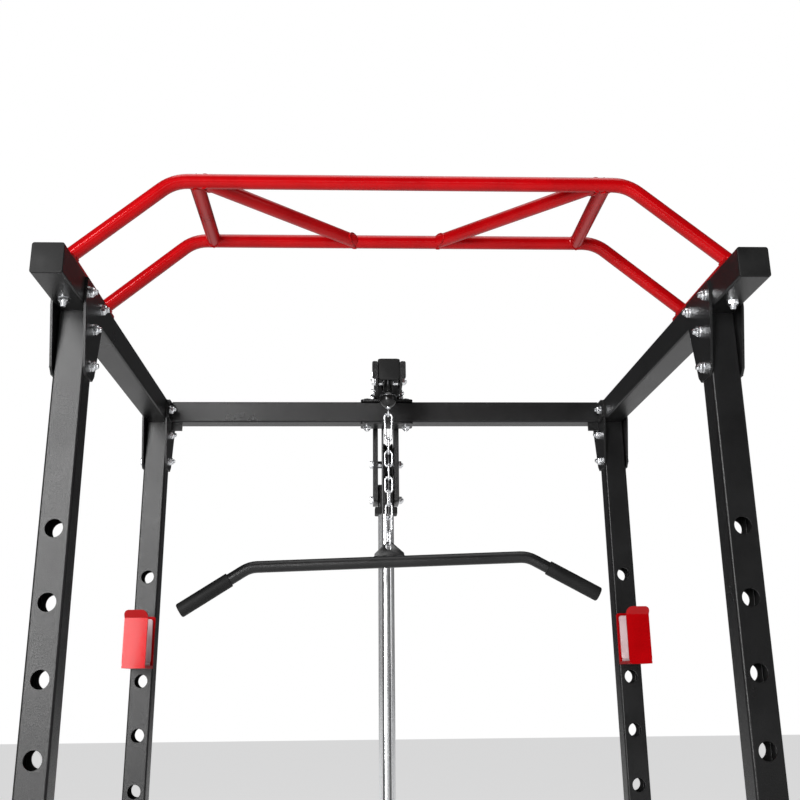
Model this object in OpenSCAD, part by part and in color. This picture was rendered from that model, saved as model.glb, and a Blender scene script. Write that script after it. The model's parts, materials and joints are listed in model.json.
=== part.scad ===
// Power cage with a multi-grip pull-up bar and a plate-loaded lat pulldown.
// Millimetres. X to the right, Y away from the user, Z up, floor at Z = 0.

/* [Cage] */
// Clear width between the two side frames
inner_w = 1044; // [950:1:1150]
// Floor to the top of the top rails
cage_h = 2100; // [1900:5:2300]
// Overall depth, front rail cap to rear foot
depth = 1400; // [1350:5:1600]
// Front rail cap to the front face of the front uprights
overhang = 177; // [130:1:260]
// Clear depth between the front and rear uprights
bay = 769; // [600:1:800]
// Top rail length behind the rear uprights
rail_tail = 45; // [40:1:80]

/* [Square tube] */
// Outside size of the square tube
tube = 50; // [45:1:60]
// Wall thickness of the square tube
wall = 2.5; // [2:0.5:3]
// Outside corner radius of the square tube
corner = 4; // [3.5:0.5:6]
// Thickness of the end cap outside the tube
cap_t = 3; // [2:0.5:5]
// Thickness of the rubber floor pads
pad_t = 5; // [3:1:10]

/* [Upright holes] */
// Radius of the front-to-back holes
hole_r = 14.25; // [13.5:0.25:15]
// Top rail underside down to the first hole
hole_first = 360; // [200:5:500]
// Spacing of the holes
hole_pitch = 112.5; // [80:0.5:120]
// Number of holes in each upright
hole_n = 13; // [6:1:13]

/* [Gusset plates] */
// Plate thickness
plate_t = 4; // [3:0.5:6]
// Half length of the plate along the rail
gusset_half = 62; // [56:1:80]
// Reach of the plate along the upright
gusset_drop = 111; // [100:1:140]
// Bolt spacing from the upright centre, along the rail
bolt_y = 46; // [40:1:50]
// First bolt in the upright, from the rail
bolt_z1 = 26; // [20:1:35]
// Second bolt in the upright, from the rail
bolt_z2 = 90; // [70:1:95]

/* [Pull-up bar] */
// Radius of the pull-up tubes
bar_r = 12.5; // [11:0.5:16]
// Height of the tube centres above the top rails
bar_rise = 146; // [80:1:250]
// Front rail cap to the centre of the front tube
bar_front = 87; // [60:1:120]
// Spacing between the front and rear tubes
bar_gap = 256; // [200:1:320]
// Half distance between the two bends
bar_bend_x = 379; // [330:1:420]
// Half distance between the feet of the two legs
bar_foot_x = 545; // [530:1:550]
// Bend radius
bar_bend_r = 65; // [50:1:80]
// Half distance between the two straight grips
neutral_x = 342; // [300:1:342]
// Half distance between the slanted grips at the front tube
slant_front = 330; // [250:1:335]
// Half distance between the slanted grips at the rear tube
slant_rear = 76; // [40:1:200]

/* [Lat pulldown] */
// Front rail cap to the front of the beam
beam_front = 812; // [780:1:860]
// Length of the beam
beam_len = 345; // [340:1:380]
// Radius of the two top pulleys
pulley_r = 38; // [34:1:38]
// Radius from pulley centre to cable centre
sheave_r = 33.5; // [30:0.5:33.5]
// Radius of the steel cable
cable_r = 2.5; // [2:0.1:3]
// Radius of the return pulley in the hanger
return_r = 52; // [48:1:52]
// Radius from return pulley centre to cable centre
return_sheave = 47.5; // [44:0.5:47.5]
// Radius of the chrome guide
guide_r = 19; // [16:0.5:19]
// Height of the guide centre behind the front rail cap
guide_back = 1105; // [1100:1:1130]
// Roll of the hanging bar to one side
bar_tilt = 1.8; // [-4:0.1:4]
// Half distance between the bends of the hanging bar
lat_bend_x = 299; // [220:1:330]
// Length of the slanted ends of the hanging bar
lat_end = 166; // [140:1:200]
// Downward angle of the slanted ends
lat_drop = 30; // [15:1:40]
// Number of chain links
link_n = 8; // [8:1:8]

/* [Weight carriage] */
// Height of the carriage sleeve
sleeve_h = 300; // [260:5:360]
// Radius of the plate horns
horn_r = 24; // [12:0.5:24.5]
// Length of each plate horn
horn_len = 240; // [150:5:300]
// Height of the horns above the bottom of the sleeve
horn_z = 204; // [150:1:240]

/* [J-hooks and safety bars] */
// Width of the J-hooks
hook_w = 50; // [44:1:60]
// Inside depth of the J-hooks
hook_d = 90; // [60:1:110]
// Upright hole that takes the J-hooks, from the top
hook_hole = 1; // [1:1:10]
// Upright hole that takes the safety bars, from the top
safety_hole = 7; // [4:1:10]
// Radius of the pins and safety bars
pin_r = 12.5; // [12:0.25:13.5]

/* [Output] */
// Which sub-part to draw

/* [Hidden] */
$fn = 48;
black = [0.09, 0.09, 0.1];
dark = [0.16, 0.16, 0.17];
red = [0.75, 0.04, 0.07];
zinc = [0.76, 0.77, 0.79];
chrome = [0.86, 0.87, 0.88];
rubber = [0.05, 0.05, 0.055];
nylon = [0.78, 0.76, 0.76];

half_x = inner_w / 2 + tube / 2;
y_front = -depth / 2;
fy = y_front + overhang + tube / 2;
ry = fy + tube + bay;
rail_z = cage_h - tube;
base_top = pad_t + tube;
rail_y0 = y_front + cap_t;
rail_len = ry + tube / 2 + rail_tail - rail_y0;
base_y0 = fy - 105;
base_len = 1060;
cross_x = inner_w / 2 - 2 * plate_t;
shank_r = 5;
bore_r = shank_r + 0.4;
washer_t = 1.6;
head_h = 6.4;
nut_h = 8;
hex_af = 16;
joint_gap = 0.05;
slant_gap = 0.3;
end_tab = [26, 4, 20];

plate_z = cage_h;
pull_y = y_front + bar_front;
pull_z = cage_h + bar_rise;
pull_foot_z = cage_h + 5;
pull_a = atan2(pull_z - pull_foot_z, bar_foot_x - bar_bend_x);
pull_t = bar_bend_r * tan(pull_a / 2);
pull_leg = norm([pull_z - pull_foot_z, bar_foot_x - bar_bend_x]) - pull_t;
pull_bolts = [pull_y + 25, pull_y + bar_gap - 25];

beam_z = cage_h + 5;
beam_y = y_front + beam_front + cap_t;
lat_x = -2;
drop_x = -9;
low_x = 5.5;
top_y = y_front + 854;
top_z = beam_z + 7;
back_y = y_front + 1019.5;
back_z = beam_z + 63;
cable_a = atan2(back_z - top_z, back_y - top_y);
guide_y = y_front + guide_back;
return_z = rail_z - 83;
hanger_bolt_z = rail_z - 170.5;
hanger_in = 20;
block_z = rail_z - 190;
guide_z0 = base_top + 6;
bumper_h = 35;
car_z = guide_z0 + bumper_h;
car_top = car_z + sleeve_h;
low_y = guide_y - return_sheave - 42;
low_z = base_top + 55;
low_sheave = 42;
return_w = 23;

lat_y = top_y - sheave_r;
ball_r = 19.5;
ball_z = rail_z + 11.5;
ring_z = rail_z - 20;
clip_top = ring_z - 2.1;
clip_end = rail_z - 83.4;
clip_end_r = 6;
clip_top_r = 8.5;
wire_r = 2.5;
link_w = 8;
hole_z = rail_z - 315.2;
tab_hole_r = 7.5;
chain_top = clip_end + 5.6;
chain_end = hole_z + 1.2;
link_c = (chain_top - chain_end + (link_n - 1) * 5.1) / link_n;
link_turn = [90, 0, 90, 0, 73, 145, 35, 105];
bar_drop = 32.8;
grip_start = 49;
grip_r = 15.5;
lat_bend_r = 60;
lat_t = lat_bend_r * tan(lat_drop / 2);

function hole_height(k) = rail_z - hole_first - k * hole_pitch;
hook_z = hole_height(hook_hole);
hook_y = ry - tube / 2;

// ---- shared shapes ----

module rsq(w, h, r) {
    square([w - 2 * r, h], center = true);
    square([w, h - 2 * r], center = true);
    for (x = [-1, 1], y = [-1, 1]) translate([x * (w / 2 - r), y * (h / 2 - r)]) circle(r);
}

module box_tube(len, w = tube) {
    linear_extrude(height = len) difference() {
        rsq(w, w, corner);
        rsq(w - 2 * wall, w - 2 * wall, corner - wall);
    }
}

module along_y() { rotate([-90, 0, 0]) children(); }
module along_x() { rotate([0, 90, 0]) children(); }
// Draws in (Y, Z) and extrudes along X
module side_on(t) { rotate([90, 0, 90]) linear_extrude(height = t) children(); }
module both() { children(); mirror([1, 0, 0]) children(); }
module block(x0, x1, y0, y1, z0, z1) { translate([x0, y0, z0]) cube([x1 - x0, y1 - y0, z1 - z0]); }

module hex(af, h) {
    linear_extrude(height = h)
        polygon([for (i = [0:5]) [af / 2 / cos(30) * cos(60 * i), af / 2 / cos(30) * sin(60 * i)]]);
}

// Bolt along +Z, clamped face under the head at Z = 0
module bolt(grip, tail = 12) {
    translate([0, 0, -washer_t - head_h]) hex(hex_af, head_h);
    translate([0, 0, -washer_t]) cylinder(r = 10, h = washer_t);
    cylinder(r = shank_r, h = grip + tail);
}

module nut(grip) {
    translate([0, 0, grip]) difference() {
        union() {
            cylinder(r = 10, h = washer_t);
            translate([0, 0, washer_t]) hex(hex_af, nut_h);
        }
        translate([0, 0, -1]) cylinder(r = shank_r + 0.05, h = nut_h + 4);
    }
}

module bolt_and_nut(grip, tail = 14) {
    bolt(grip, tail);
    nut(grip);
}

module rod(p, q, r) {
    v = q - p;
    translate(p) rotate([0, acos(v[2] / norm(v)), atan2(v[1], v[0])]) cylinder(r = r, h = norm(v));
}

// Arc of a round bar in the XZ plane, angles from +X towards +Z
module arc_xz(cx, y, cz, big, a0, a, r) {
    translate([cx, y, cz]) rotate([90, 0, 0]) rotate([0, 0, a0])
        rotate_extrude(angle = a) translate([big, 0]) circle(r);
}

// Arc of a round bar in the YZ plane, angles from +Y towards +Z
module arc_yz(x, cy, cz, big, a0, a, r) {
    translate([x, cy, cz]) rotate([90, 0, 90]) rotate([0, 0, a0])
        rotate_extrude(angle = a) translate([big, 0]) circle(r);
}

// Grooved wheel on the X axis, hub to hub = w
module pulley(x, y, z, r, groove, w) {
    translate([x - w / 2, y, z]) along_x() difference() {
        rotate_extrude() polygon([
            [shank_r + 0.4, 0], [12, 0], [12, 3], [r - 9, 3], [r - 5, 0], [r, 1.5], [r, 3],
            [groove, w / 2 - 2], [groove, w / 2 + 2], [r, w - 3], [r, w - 1.5], [r - 5, w],
            [r - 9, w - 3], [12, w - 3], [12, w], [shank_r + 0.4, w]]);
    }
}

// ---- side frames ----

module upright(s, y) {
    difference() {
        translate([s * half_x, y, base_top]) box_tube(rail_z - base_top);
        for (k = [0:hole_n - 1]) translate([s * half_x, y - tube, hole_height(k)])
            along_y() cylinder(r = hole_r, h = 2 * tube);
        for (z = [bolt_z1, bolt_z2], e = [rail_z - z, base_top + z])
            translate([s * half_x - tube, y, e]) along_x() cylinder(r = bore_r, h = 2 * tube);
    }
}

module rail(s, y0, len, z) {
    difference() {
        translate([s * half_x, y0, z + tube / 2]) along_y() box_tube(len);
        for (y = [fy, ry], d = [-bolt_y, bolt_y])
            translate([s * half_x - tube, y + d, z + tube / 2]) along_x() cylinder(r = bore_r, h = 2 * tube);
        if (z == rail_z) for (y = pull_bolts)
            translate([s * half_x, y, z - 1]) cylinder(r = bore_r, h = tube + 2);
    }
}

module crossmember(z) {
    difference() {
        union() {
            translate([-cross_x, ry, z + tube / 2]) along_x() box_tube(2 * cross_x);
            both() translate([cross_x, ry, z + tube / 2]) rotate([90, 0, 90])
                linear_extrude(height = plate_t) rsq(2 * gusset_half, tube - 6, 5);
            if (z == rail_z) both() translate([cross_x - end_tab[0], ry - end_tab[2], z - end_tab[2]])
                cube([end_tab[0], end_tab[1], end_tab[2] + 1]);
        }
        for (d = [-bolt_y, bolt_y]) translate([-half_x, ry + d, z + tube / 2])
            along_x() cylinder(r = bore_r, h = 2 * half_x);
        children();
    }
}

// Outline with Y from the upright centre and Z from the rail face
module gusset_2d() {
    h = gusset_half;
    d = gusset_drop;
    difference() {
        polygon([[-h, 46], [-h, -2], [-34, 11 - d], [-22, -d], [22, -d], [34, 11 - d], [h, -2], [h, 46]]);
        for (y = [-bolt_y, bolt_y]) translate([y, tube / 2]) circle(bore_r);
        for (z = [bolt_z1, bolt_z2]) translate([0, -z]) circle(bore_r);
    }
}

module gusset_set(flip, z) {
    both() for (y = [fy, ry], x = [half_x - tube / 2 - plate_t, half_x + tube / 2])
        translate([x, y, z]) mirror([0, 0, flip]) side_on(plate_t) gusset_2d();
}

// Places a child on every gusset bolt axis, head outside, +Z pointing inwards
module at_gusset_bolts() {
    both() for (y = [fy, ry], e = [[rail_z, 1], [base_top, -1]]) {
        for (z = [bolt_z1, bolt_z2])
            translate([half_x + tube / 2 + plate_t, y, e[0] - e[1] * z]) rotate([0, -90, 0]) children(0);
        for (d = [-bolt_y, bolt_y])
            translate([half_x + tube / 2 + plate_t, y + d, e[0] + e[1] * tube / 2])
                rotate([0, -90, 0]) children(y == ry ? 1 : 0);
    }
}

module end_cap() {
    linear_extrude(height = cap_t) rsq(tube, tube, corner);
    translate([0, 0, cap_t]) linear_extrude(height = 14) difference() {
        rsq(tube - 2 * wall - 0.4, tube - 2 * wall - 0.4, corner - wall);
        rsq(tube - 2 * wall - 5, tube - 2 * wall - 5, 1);
    }
}

module upright_front_left() { color(black) upright(-1, fy); }
module upright_front_right() { color(black) upright(1, fy); }
module upright_rear_left() { color(black) upright(-1, ry); }
module upright_rear_right() { color(black) upright(1, ry); }
module top_rail_left() { color(black) rail(-1, rail_y0, rail_len, rail_z); }
module top_rail_right() { color(black) rail(1, rail_y0, rail_len, rail_z); }
module base_rail_left() { color(black) rail(-1, base_y0, base_len, pad_t); }
module base_rail_right() { color(black) rail(1, base_y0, base_len, pad_t); }
module top_gusset_plates() { color(dark) gusset_set(0, rail_z); }
module base_gusset_plates() { color(dark) gusset_set(1, base_top); }

module rear_top_crossmember() {
    color(black) crossmember(rail_z)
        for (x = [-47, 47]) translate([x, ry, rail_z - 1]) cylinder(r = bore_r, h = tube + 2);
}

module rear_base_crossmember() {
    color(black) crossmember(pad_t) {
        for (x = [-38, 38]) translate([x, ry - tube, pad_t + tube / 2])
            along_y() cylinder(r = bore_r, h = 2 * tube);
        for (x = [-40, 40]) translate([low_x + x, ry, pad_t + tube / 2])
            cylinder(r = bore_r, h = tube);
    }
}

module gusset_bolts_and_nuts() {
    color(zinc) at_gusset_bolts() {
        bolt_and_nut(tube + 2 * plate_t);
        bolt_and_nut(tube + 3 * plate_t);
    }
}

module tube_end_caps() {
    color(rubber) {
        both() {
            for (e = [[y_front, rail_z], [base_y0 - cap_t, pad_t]])
                translate([half_x, e[0], e[1] + tube / 2]) along_y() end_cap();
            for (e = [[rail_y0 + rail_len, rail_z], [base_y0 + base_len, pad_t]])
                translate([half_x, e[0] + cap_t, e[1] + tube / 2]) rotate([90, 0, 0]) end_cap();
            translate([220 + cap_t, depth / 2 - tube / 2, pad_t + tube / 2])
                rotate([0, -90, 0]) end_cap();
        }
        translate([0, beam_y - cap_t, beam_z + tube / 2]) along_y()
            linear_extrude(height = cap_t) rsq(tube, tube, corner);
        translate([0, beam_y + beam_len + cap_t, beam_z + tube / 2]) rotate([90, 0, 0]) end_cap();
    }
}

module floor_pads() {
    color(rubber) both() {
        for (y = [base_y0 + 40, base_y0 + base_len - 40]) translate([half_x, y, 0])
            linear_extrude(height = pad_t) rsq(tube, 70, 5);
        translate([185, depth / 2 - tube / 2, 0]) linear_extrude(height = pad_t) rsq(60, tube, 5);
    }
}

// ---- pull-up bar ----

module pull_straight(y) {
    x = bar_bend_x - pull_t - joint_gap;
    translate([-x, y, pull_z]) along_x() cylinder(r = bar_r, h = 2 * x);
}

module pull_tube(y) {
    pull_straight(y);
    both() {
        arc_xz(bar_bend_x - pull_t, y, pull_z - bar_bend_r, bar_bend_r, 90 - pull_a, pull_a, bar_r);
        difference() {
            translate([bar_bend_x, y, pull_z]) rotate([0, 90 + pull_a, 0])
                translate([0, 0, pull_t + joint_gap]) cylinder(r = bar_r, h = pull_leg + 20);
            block(bar_bend_x, half_x + tube, y - tube, y + tube, rail_z, pull_foot_z);
        }
    }
}

module pull_up_front_bar() { color(red) pull_tube(pull_y); }
module pull_up_rear_bar() { color(red) pull_tube(pull_y + bar_gap); }

module neutral_rods() {
    both() translate([neutral_x, pull_y, pull_z]) along_y() cylinder(r = bar_r, h = bar_gap);
}

module pull_up_neutral_grips() {
    color(red) difference() {
        neutral_rods();
        pull_straight(pull_y);
        pull_straight(pull_y + bar_gap);
    }
}

module pull_up_slanted_grips() {
    color(red) difference() {
        both() rod([slant_front, pull_y, pull_z], [slant_rear, pull_y + bar_gap, pull_z], bar_r);
        neutral_rods();
        pull_straight(pull_y);
        pull_straight(pull_y + bar_gap);
    }
}

module pull_up_end_plates() {
    color(red) both() difference() {
        translate([half_x, pull_y + bar_gap / 2, plate_z])
            linear_extrude(height = pull_foot_z - plate_z) rsq(46, bar_gap + 64, 5);
        for (y = pull_bolts) translate([half_x, y, plate_z - 1]) cylinder(r = bore_r, h = 9);
    }
}

module at_pull_bolts() {
    both() for (y = pull_bolts) translate([half_x, y, pull_foot_z]) rotate([180, 0, 0]) children();
}

module pull_up_bolts_and_nuts() { color(zinc) at_pull_bolts() bolt_and_nut(tube + 5, 16); }

// ---- lat pulldown frame ----

module lat_beam() {
    color(black) difference() {
        translate([0, beam_y, beam_z + tube / 2]) along_y() box_tube(beam_len);
        block(-15, 11, beam_y + 1, top_y + pulley_r + 4, beam_z - 1, beam_z + 8);
        block(-21, 8, top_y + 4, back_y + pulley_r + 5, beam_z + tube - 8, beam_z + tube + 1);
        block(-22.5, 22.5, top_y - 12, top_y + 12, beam_z - 1, beam_z + corner);
        block(drop_x - 6, drop_x + 6, back_y + sheave_r - 6, back_y + sheave_r + 6, beam_z - 1, beam_z + 8);
        for (p = [[top_y, top_z], [top_y + 36, beam_z + 33], [back_y - 22, beam_z + 17],
                  [back_y + 22, beam_z + 17]])
            translate([-tube, p[0], p[1]]) along_x() cylinder(r = bore_r, h = 2 * tube);
    }
}

module beam_clamp_plates() {
    color(black) for (z = [cage_h, rail_z - 5]) difference() {
        translate([0, ry - 2.5, z]) linear_extrude(height = 5) rsq(125, 57, 8);
        for (x = [-47, 47]) translate([x, ry, z - 1]) cylinder(r = bore_r, h = 7);
    }
}

module at_clamp_bolts() {
    for (x = [-47, 47]) translate([x, ry, cage_h + 5]) rotate([180, 0, 0]) children();
}

module clamp_bolts_and_nuts() { color(zinc) at_clamp_bolts() bolt_and_nut(tube + 10, 12); }

module pulley_cheeks() {
    color(black) both() {
        front_cheek();
        rear_cheek();
    }
}

module front_cheek() {
    difference() {
        union() {
            translate([tube / 2, top_y - 1, beam_z + 14]) side_on(5) rsq(94, 57, 10);
            translate([tube / 2 + 6.5, top_y - 43, beam_z + 22]) rotate([90, 0, 0])
                linear_extrude(height = 5) rsq(13, 40, 4);
        }
        for (p = [[top_y, top_z], [top_y + 36, beam_z + 33]])
            translate([0, p[0], p[1]]) along_x() cylinder(r = bore_r, h = tube);
    }
}

module rear_cheek() {
    difference() {
        translate([tube / 2, back_y, beam_z + 43]) side_on(5) rsq(66, 80, 14);
        for (p = [[back_y, back_z], [back_y - 22, beam_z + 17], [back_y + 22, beam_z + 17]])
            translate([0, p[0], p[1]]) along_x() cylinder(r = bore_r, h = tube);
    }
}

module hanger_bracket() {
    color(black) difference() {
        union() {
            both() translate([hanger_in, guide_y + 1, (beam_z + rail_z - 180) / 2]) side_on(31 - hanger_in)
                rsq(88, beam_z - rail_z + 180, 6);
            block(-hanger_in - 1, hanger_in + 1, guide_y - 37, guide_y + 39, beam_z - 8, beam_z);
        }
        for (z = [return_z, hanger_bolt_z]) translate([-tube, guide_y, z])
            along_x() cylinder(r = bore_r, h = 2 * tube);
    }
}

// Axles and cross bolts of the lat frame: [y, z, half grip]
cross_bolts = [[top_y, top_z, 30], [top_y + 36, beam_z + 33, 30], [back_y, back_z, 30],
    [back_y - 22, beam_z + 17, 30], [back_y + 22, beam_z + 17, 30],
    [guide_y, return_z, 31], [guide_y, hanger_bolt_z, 31]];

module lat_frame_bolts_and_nuts() {
    color(zinc) {
        for (b = cross_bolts) translate([-b[2], b[0], b[1]]) along_x() bolt_and_nut(2 * b[2], 12);
        translate([low_x - 18, low_y, low_z]) along_x() bolt_and_nut(36, 12);
        for (x = [-38, 38]) {
            translate([x, ry - tube / 2, pad_t + tube / 2]) along_y() bolt_and_nut(tube + 4, 12);
            translate([x, depth / 2 - 0.5, pad_t + tube / 2]) rotate([90, 0, 0]) {
                cylinder(r = shank_r, h = tube + 16);
                nut(tube + 3.5);
            }
        }
        for (x = [-40, 40]) translate([low_x + x, ry, base_top + 5]) mirror([0, 0, 1]) bolt(5, 8);
    }
}

module spacer(x0, x1, y, z) {
    translate([x0, y, z]) along_x() difference() {
        cylinder(r = 9, h = x1 - x0);
        translate([0, 0, -1]) cylinder(r = shank_r + 0.05, h = x1 - x0 + 2);
    }
}

module axle_spacers() {
    color(zinc) {
        spacer(-22.5, lat_x - 11.4, top_y, top_z);
        spacer(lat_x + 11.4, 22.5, top_y, top_z);
        spacer(-25, drop_x - 10.4, back_y, back_z);
        spacer(drop_x + 10.4, 25, back_y, back_z);
        spacer(-hanger_in, low_x - return_w / 2 - 0.4, guide_y, return_z);
        spacer(low_x + return_w / 2 + 0.4, hanger_in, guide_y, return_z);
    }
}

module front_pulley() { color(rubber) pulley(lat_x, top_y, top_z, pulley_r, sheave_r - cable_r, 22); }
module rear_pulley() { color(rubber) pulley(drop_x, back_y, back_z, pulley_r, sheave_r - cable_r, 20); }
module return_pulley() {
    color(rubber) pulley(low_x, guide_y, return_z, return_r, return_sheave - cable_r, return_w);
}
module low_pulley() { color(rubber) pulley(low_x, low_y, low_z, 46, low_sheave - cable_r, 20); }

module guide_post() {
    color(chrome) difference() {
        translate([0, guide_y, guide_z0]) cylinder(r = guide_r, h = rail_z - 138 - guide_z0);
        translate([0, guide_y, guide_z0 - 1]) cylinder(r = guide_r - 2.5, h = rail_z);
        translate([-tube, guide_y, hanger_bolt_z]) along_x() cylinder(r = bore_r, h = 2 * tube);
    }
}

module guide_block() {
    color(black) difference() {
        translate([0, guide_y, block_z]) linear_extrude(height = 54) rsq(2 * hanger_in - 0.4, 46, 4);
        translate([0, guide_y, block_z - 1]) cylinder(r = guide_r + 0.2, h = 53.2);
        translate([-tube, guide_y, hanger_bolt_z]) along_x() cylinder(r = bore_r, h = 2 * tube);
    }
}

module guide_collar() {
    color(rubber) difference() {
        translate([0, guide_y, block_z - 16]) linear_extrude(height = 16) rsq(54, 50, 5);
        translate([0, guide_y, block_z - 17]) cylinder(r = guide_r + 0.2, h = 18);
    }
}

module guide_base_plate() {
    color(black) {
        translate([0, guide_y, base_top]) linear_extrude(height = 6) rsq(70, 100, 8);
        translate([0, guide_y, guide_z0]) cylinder(r = guide_r - 2.7, h = 30);
    }
}

module rubber_bumper() {
    color(rubber) translate([0, guide_y, guide_z0]) difference() {
        cylinder(r = 32, h = bumper_h);
        translate([0, 0, -1]) cylinder(r = guide_r + 0.2, h = bumper_h + 2);
    }
}

module lat_foot_beam() {
    y0 = ry + tube / 2;
    y1 = depth / 2 - tube;
    color(black) difference() {
        union() {
            translate([0, y0 + 4, pad_t + tube / 2]) along_y() box_tube(y1 - y0 - 8);
            for (y = [y0 + 4, y1]) translate([0, y, pad_t + tube / 2]) rotate([90, 0, 0])
                linear_extrude(height = 4) rsq(104, tube - 4, 6);
        }
        for (x = [-38, 38]) translate([x, y0 - 1, pad_t + tube / 2])
            along_y() cylinder(r = bore_r, h = y1 - y0 + 2);
    }
}

module rear_t_foot() {
    color(black) difference() {
        translate([-220, depth / 2 - tube / 2, pad_t + tube / 2]) along_x() box_tube(440);
        for (x = [-38, 38]) translate([x, depth / 2 - 2 * tube, pad_t + tube / 2])
            along_y() cylinder(r = bore_r, h = 3 * tube);
    }
}

module low_pulley_bracket() {
    color(black) difference() {
        union() {
            translate([low_x, ry - 2, base_top]) linear_extrude(height = 5) rsq(104, 44, 6);
            for (x = [-18, 13]) translate([low_x + x, low_y, base_top + 40]) side_on(5) difference() {
                rsq(48, 80, 10);
                translate([0, low_z - base_top - 40]) circle(bore_r);
            }
        }
        for (x = [-40, 40]) translate([low_x + x, ry, base_top - 1]) cylinder(r = bore_r, h = 8);
    }
}

module low_ball_stop() {
    color(rubber) difference() {
        translate([low_x, low_y - 80, low_z - low_sheave]) sphere(17);
        translate([low_x, low_y - 100, low_z - low_sheave]) along_y() cylinder(r = 3, h = 50);
    }
}

// ---- weight carriage ----

module carriage_sleeve() {
    color(black) difference() {
        union() {
            translate([0, guide_y, car_z]) box_tube(sleeve_h, 60);
            translate([0, guide_y - 1, car_top]) linear_extrude(height = 8) rsq(60, 124, 10);
        }
        translate([0, guide_y, car_top - 1]) cylinder(r = guide_r + 1, h = 10);
        translate([drop_x, back_y + sheave_r, car_top - 1]) cylinder(r = 5.2, h = 10);
        translate([low_x, guide_y + return_sheave, car_top - 1]) cylinder(r = 5.2, h = 10);
        translate([low_x, guide_y - return_sheave, car_top - 1]) cylinder(r = 5.5, h = 10);
    }
}

module carriage_bushings() {
    color(nylon) for (z = [car_z + 2, car_top - 42]) translate([0, guide_y, z]) difference() {
        linear_extrude(height = 40) rsq(60 - 2 * wall - 0.2, 60 - 2 * wall - 0.2, corner - wall);
        translate([0, 0, -1]) cylinder(r = guide_r + 0.4, h = 42);
    }
}

module plate_horns() {
    color(chrome) both() translate([30, guide_y, car_z + horn_z]) along_x() {
        difference() {
            cylinder(r = horn_r, h = horn_len);
            translate([0, 0, 6]) cylinder(r = horn_r - 3, h = horn_len);
        }
        translate([0, 0, 10]) difference() {
            cylinder(r = 50, h = 6);
            translate([0, 0, -1]) cylinder(r = horn_r, h = 8);
        }
    }
}

module horn_end_caps() {
    color(rubber) both() translate([30 + horn_len, guide_y, car_z + horn_z]) along_x() {
        cylinder(r = horn_r, h = 4);
        translate([0, 0, -12]) cylinder(r = horn_r - 3.2, h = 12);
    }
}

module stud(x, y) {
    translate([x, y, car_top - 14]) cylinder(r = shank_r, h = 48);
    translate([x, y, car_top - 8.2]) hex(15, 8);
}

module cable_studs() {
    color(zinc) {
        stud(drop_x, back_y + sheave_r);
        stud(low_x, guide_y + return_sheave);
    }
}

// ---- cables ----

module cables() {
    g = joint_gap;
    n = [-sin(cable_a), cos(cable_a)];
    u = [cos(cable_a), sin(cable_a)];
    p = [top_y, top_z] + n * sheave_r + u * slant_gap;
    q = [back_y, back_z] + n * sheave_r - u * slant_gap;
    low_end = low_y - 85;
    color(dark) {
        translate([lat_x, lat_y, ball_z + ball_r]) cylinder(r = cable_r, h = top_z - ball_z - ball_r - g);
        arc_yz(lat_x, top_y, top_z, sheave_r, 90 + cable_a, 90 - cable_a, cable_r);
        rod([lat_x, p[0], p[1]], [drop_x, q[0], q[1]], cable_r);
        arc_yz(drop_x, back_y, back_z, sheave_r, 0, 90 + cable_a, cable_r);
        arc_yz(low_x, guide_y, return_z, return_sheave, 0, 180, cable_r);
        translate([low_x, guide_y - return_sheave, low_z + g])
            cylinder(r = cable_r, h = return_z - low_z - 2 * g);
        arc_yz(low_x, low_y, low_z, low_sheave, 270, 90, cable_r);
        translate([low_x, low_end, low_z - low_sheave]) along_y()
            cylinder(r = cable_r, h = low_y - low_end - g);
    }
}

module lat_cable_drop() {
    color(dark) translate([drop_x, back_y + sheave_r, car_top + 34])
        cylinder(r = cable_r, h = back_z - car_top - 34);
}

module low_cable_rise() {
    color(dark) translate([low_x, guide_y + return_sheave, car_top + 34])
        cylinder(r = cable_r, h = return_z - car_top - 34);
}

// ---- hanging parts ----

module ball_stop() {
    color(rubber) difference() {
        translate([lat_x, lat_y, ball_z]) sphere(ball_r);
        translate([lat_x, lat_y, ball_z - 30]) cylinder(r = 3, h = 60);
    }
    color(zinc) {
        translate([lat_x, lat_y, ring_z + 7]) cylinder(r = 2.9, h = ball_z - ring_z - 7);
        arc_yz(lat_x, lat_y, ring_z, 7.5, 0, 360, 2.2);
    }
}

module carabiner() {
    top_c = clip_top - clip_top_r;
    end_c = clip_end + clip_end_r;
    color(zinc) {
        arc_xz(lat_x, lat_y, top_c, clip_top_r, 0, 180, 3);
        arc_xz(lat_x, lat_y, end_c, clip_end_r, 180, 180, 3);
        rod([lat_x + clip_top_r, lat_y, top_c + 0.5], [lat_x + clip_end_r, lat_y, end_c - 0.5], 2.85);
        rod([lat_x - clip_top_r, lat_y, top_c + 0.5], [lat_x - clip_end_r, lat_y, end_c - 0.5], 2.6);
    }
}

module link(a) {
    rotate([0, 0, a]) {
        for (x = [-link_w, link_w]) translate([x, 0, link_w - link_c / 2])
            cylinder(r = wire_r, h = link_c - 2 * link_w);
        arc_xz(0, 0, link_c / 2 - link_w, link_w, 0, 180, wire_r);
        arc_xz(0, 0, link_w - link_c / 2, link_w, 180, 180, wire_r);
    }
}

module hanging_chain() {
    color(zinc) for (k = [0:link_n - 1])
        translate([lat_x, lat_y, chain_top - link_c / 2 - k * (link_c - 5.1)]) link(link_turn[k]);
}

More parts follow.
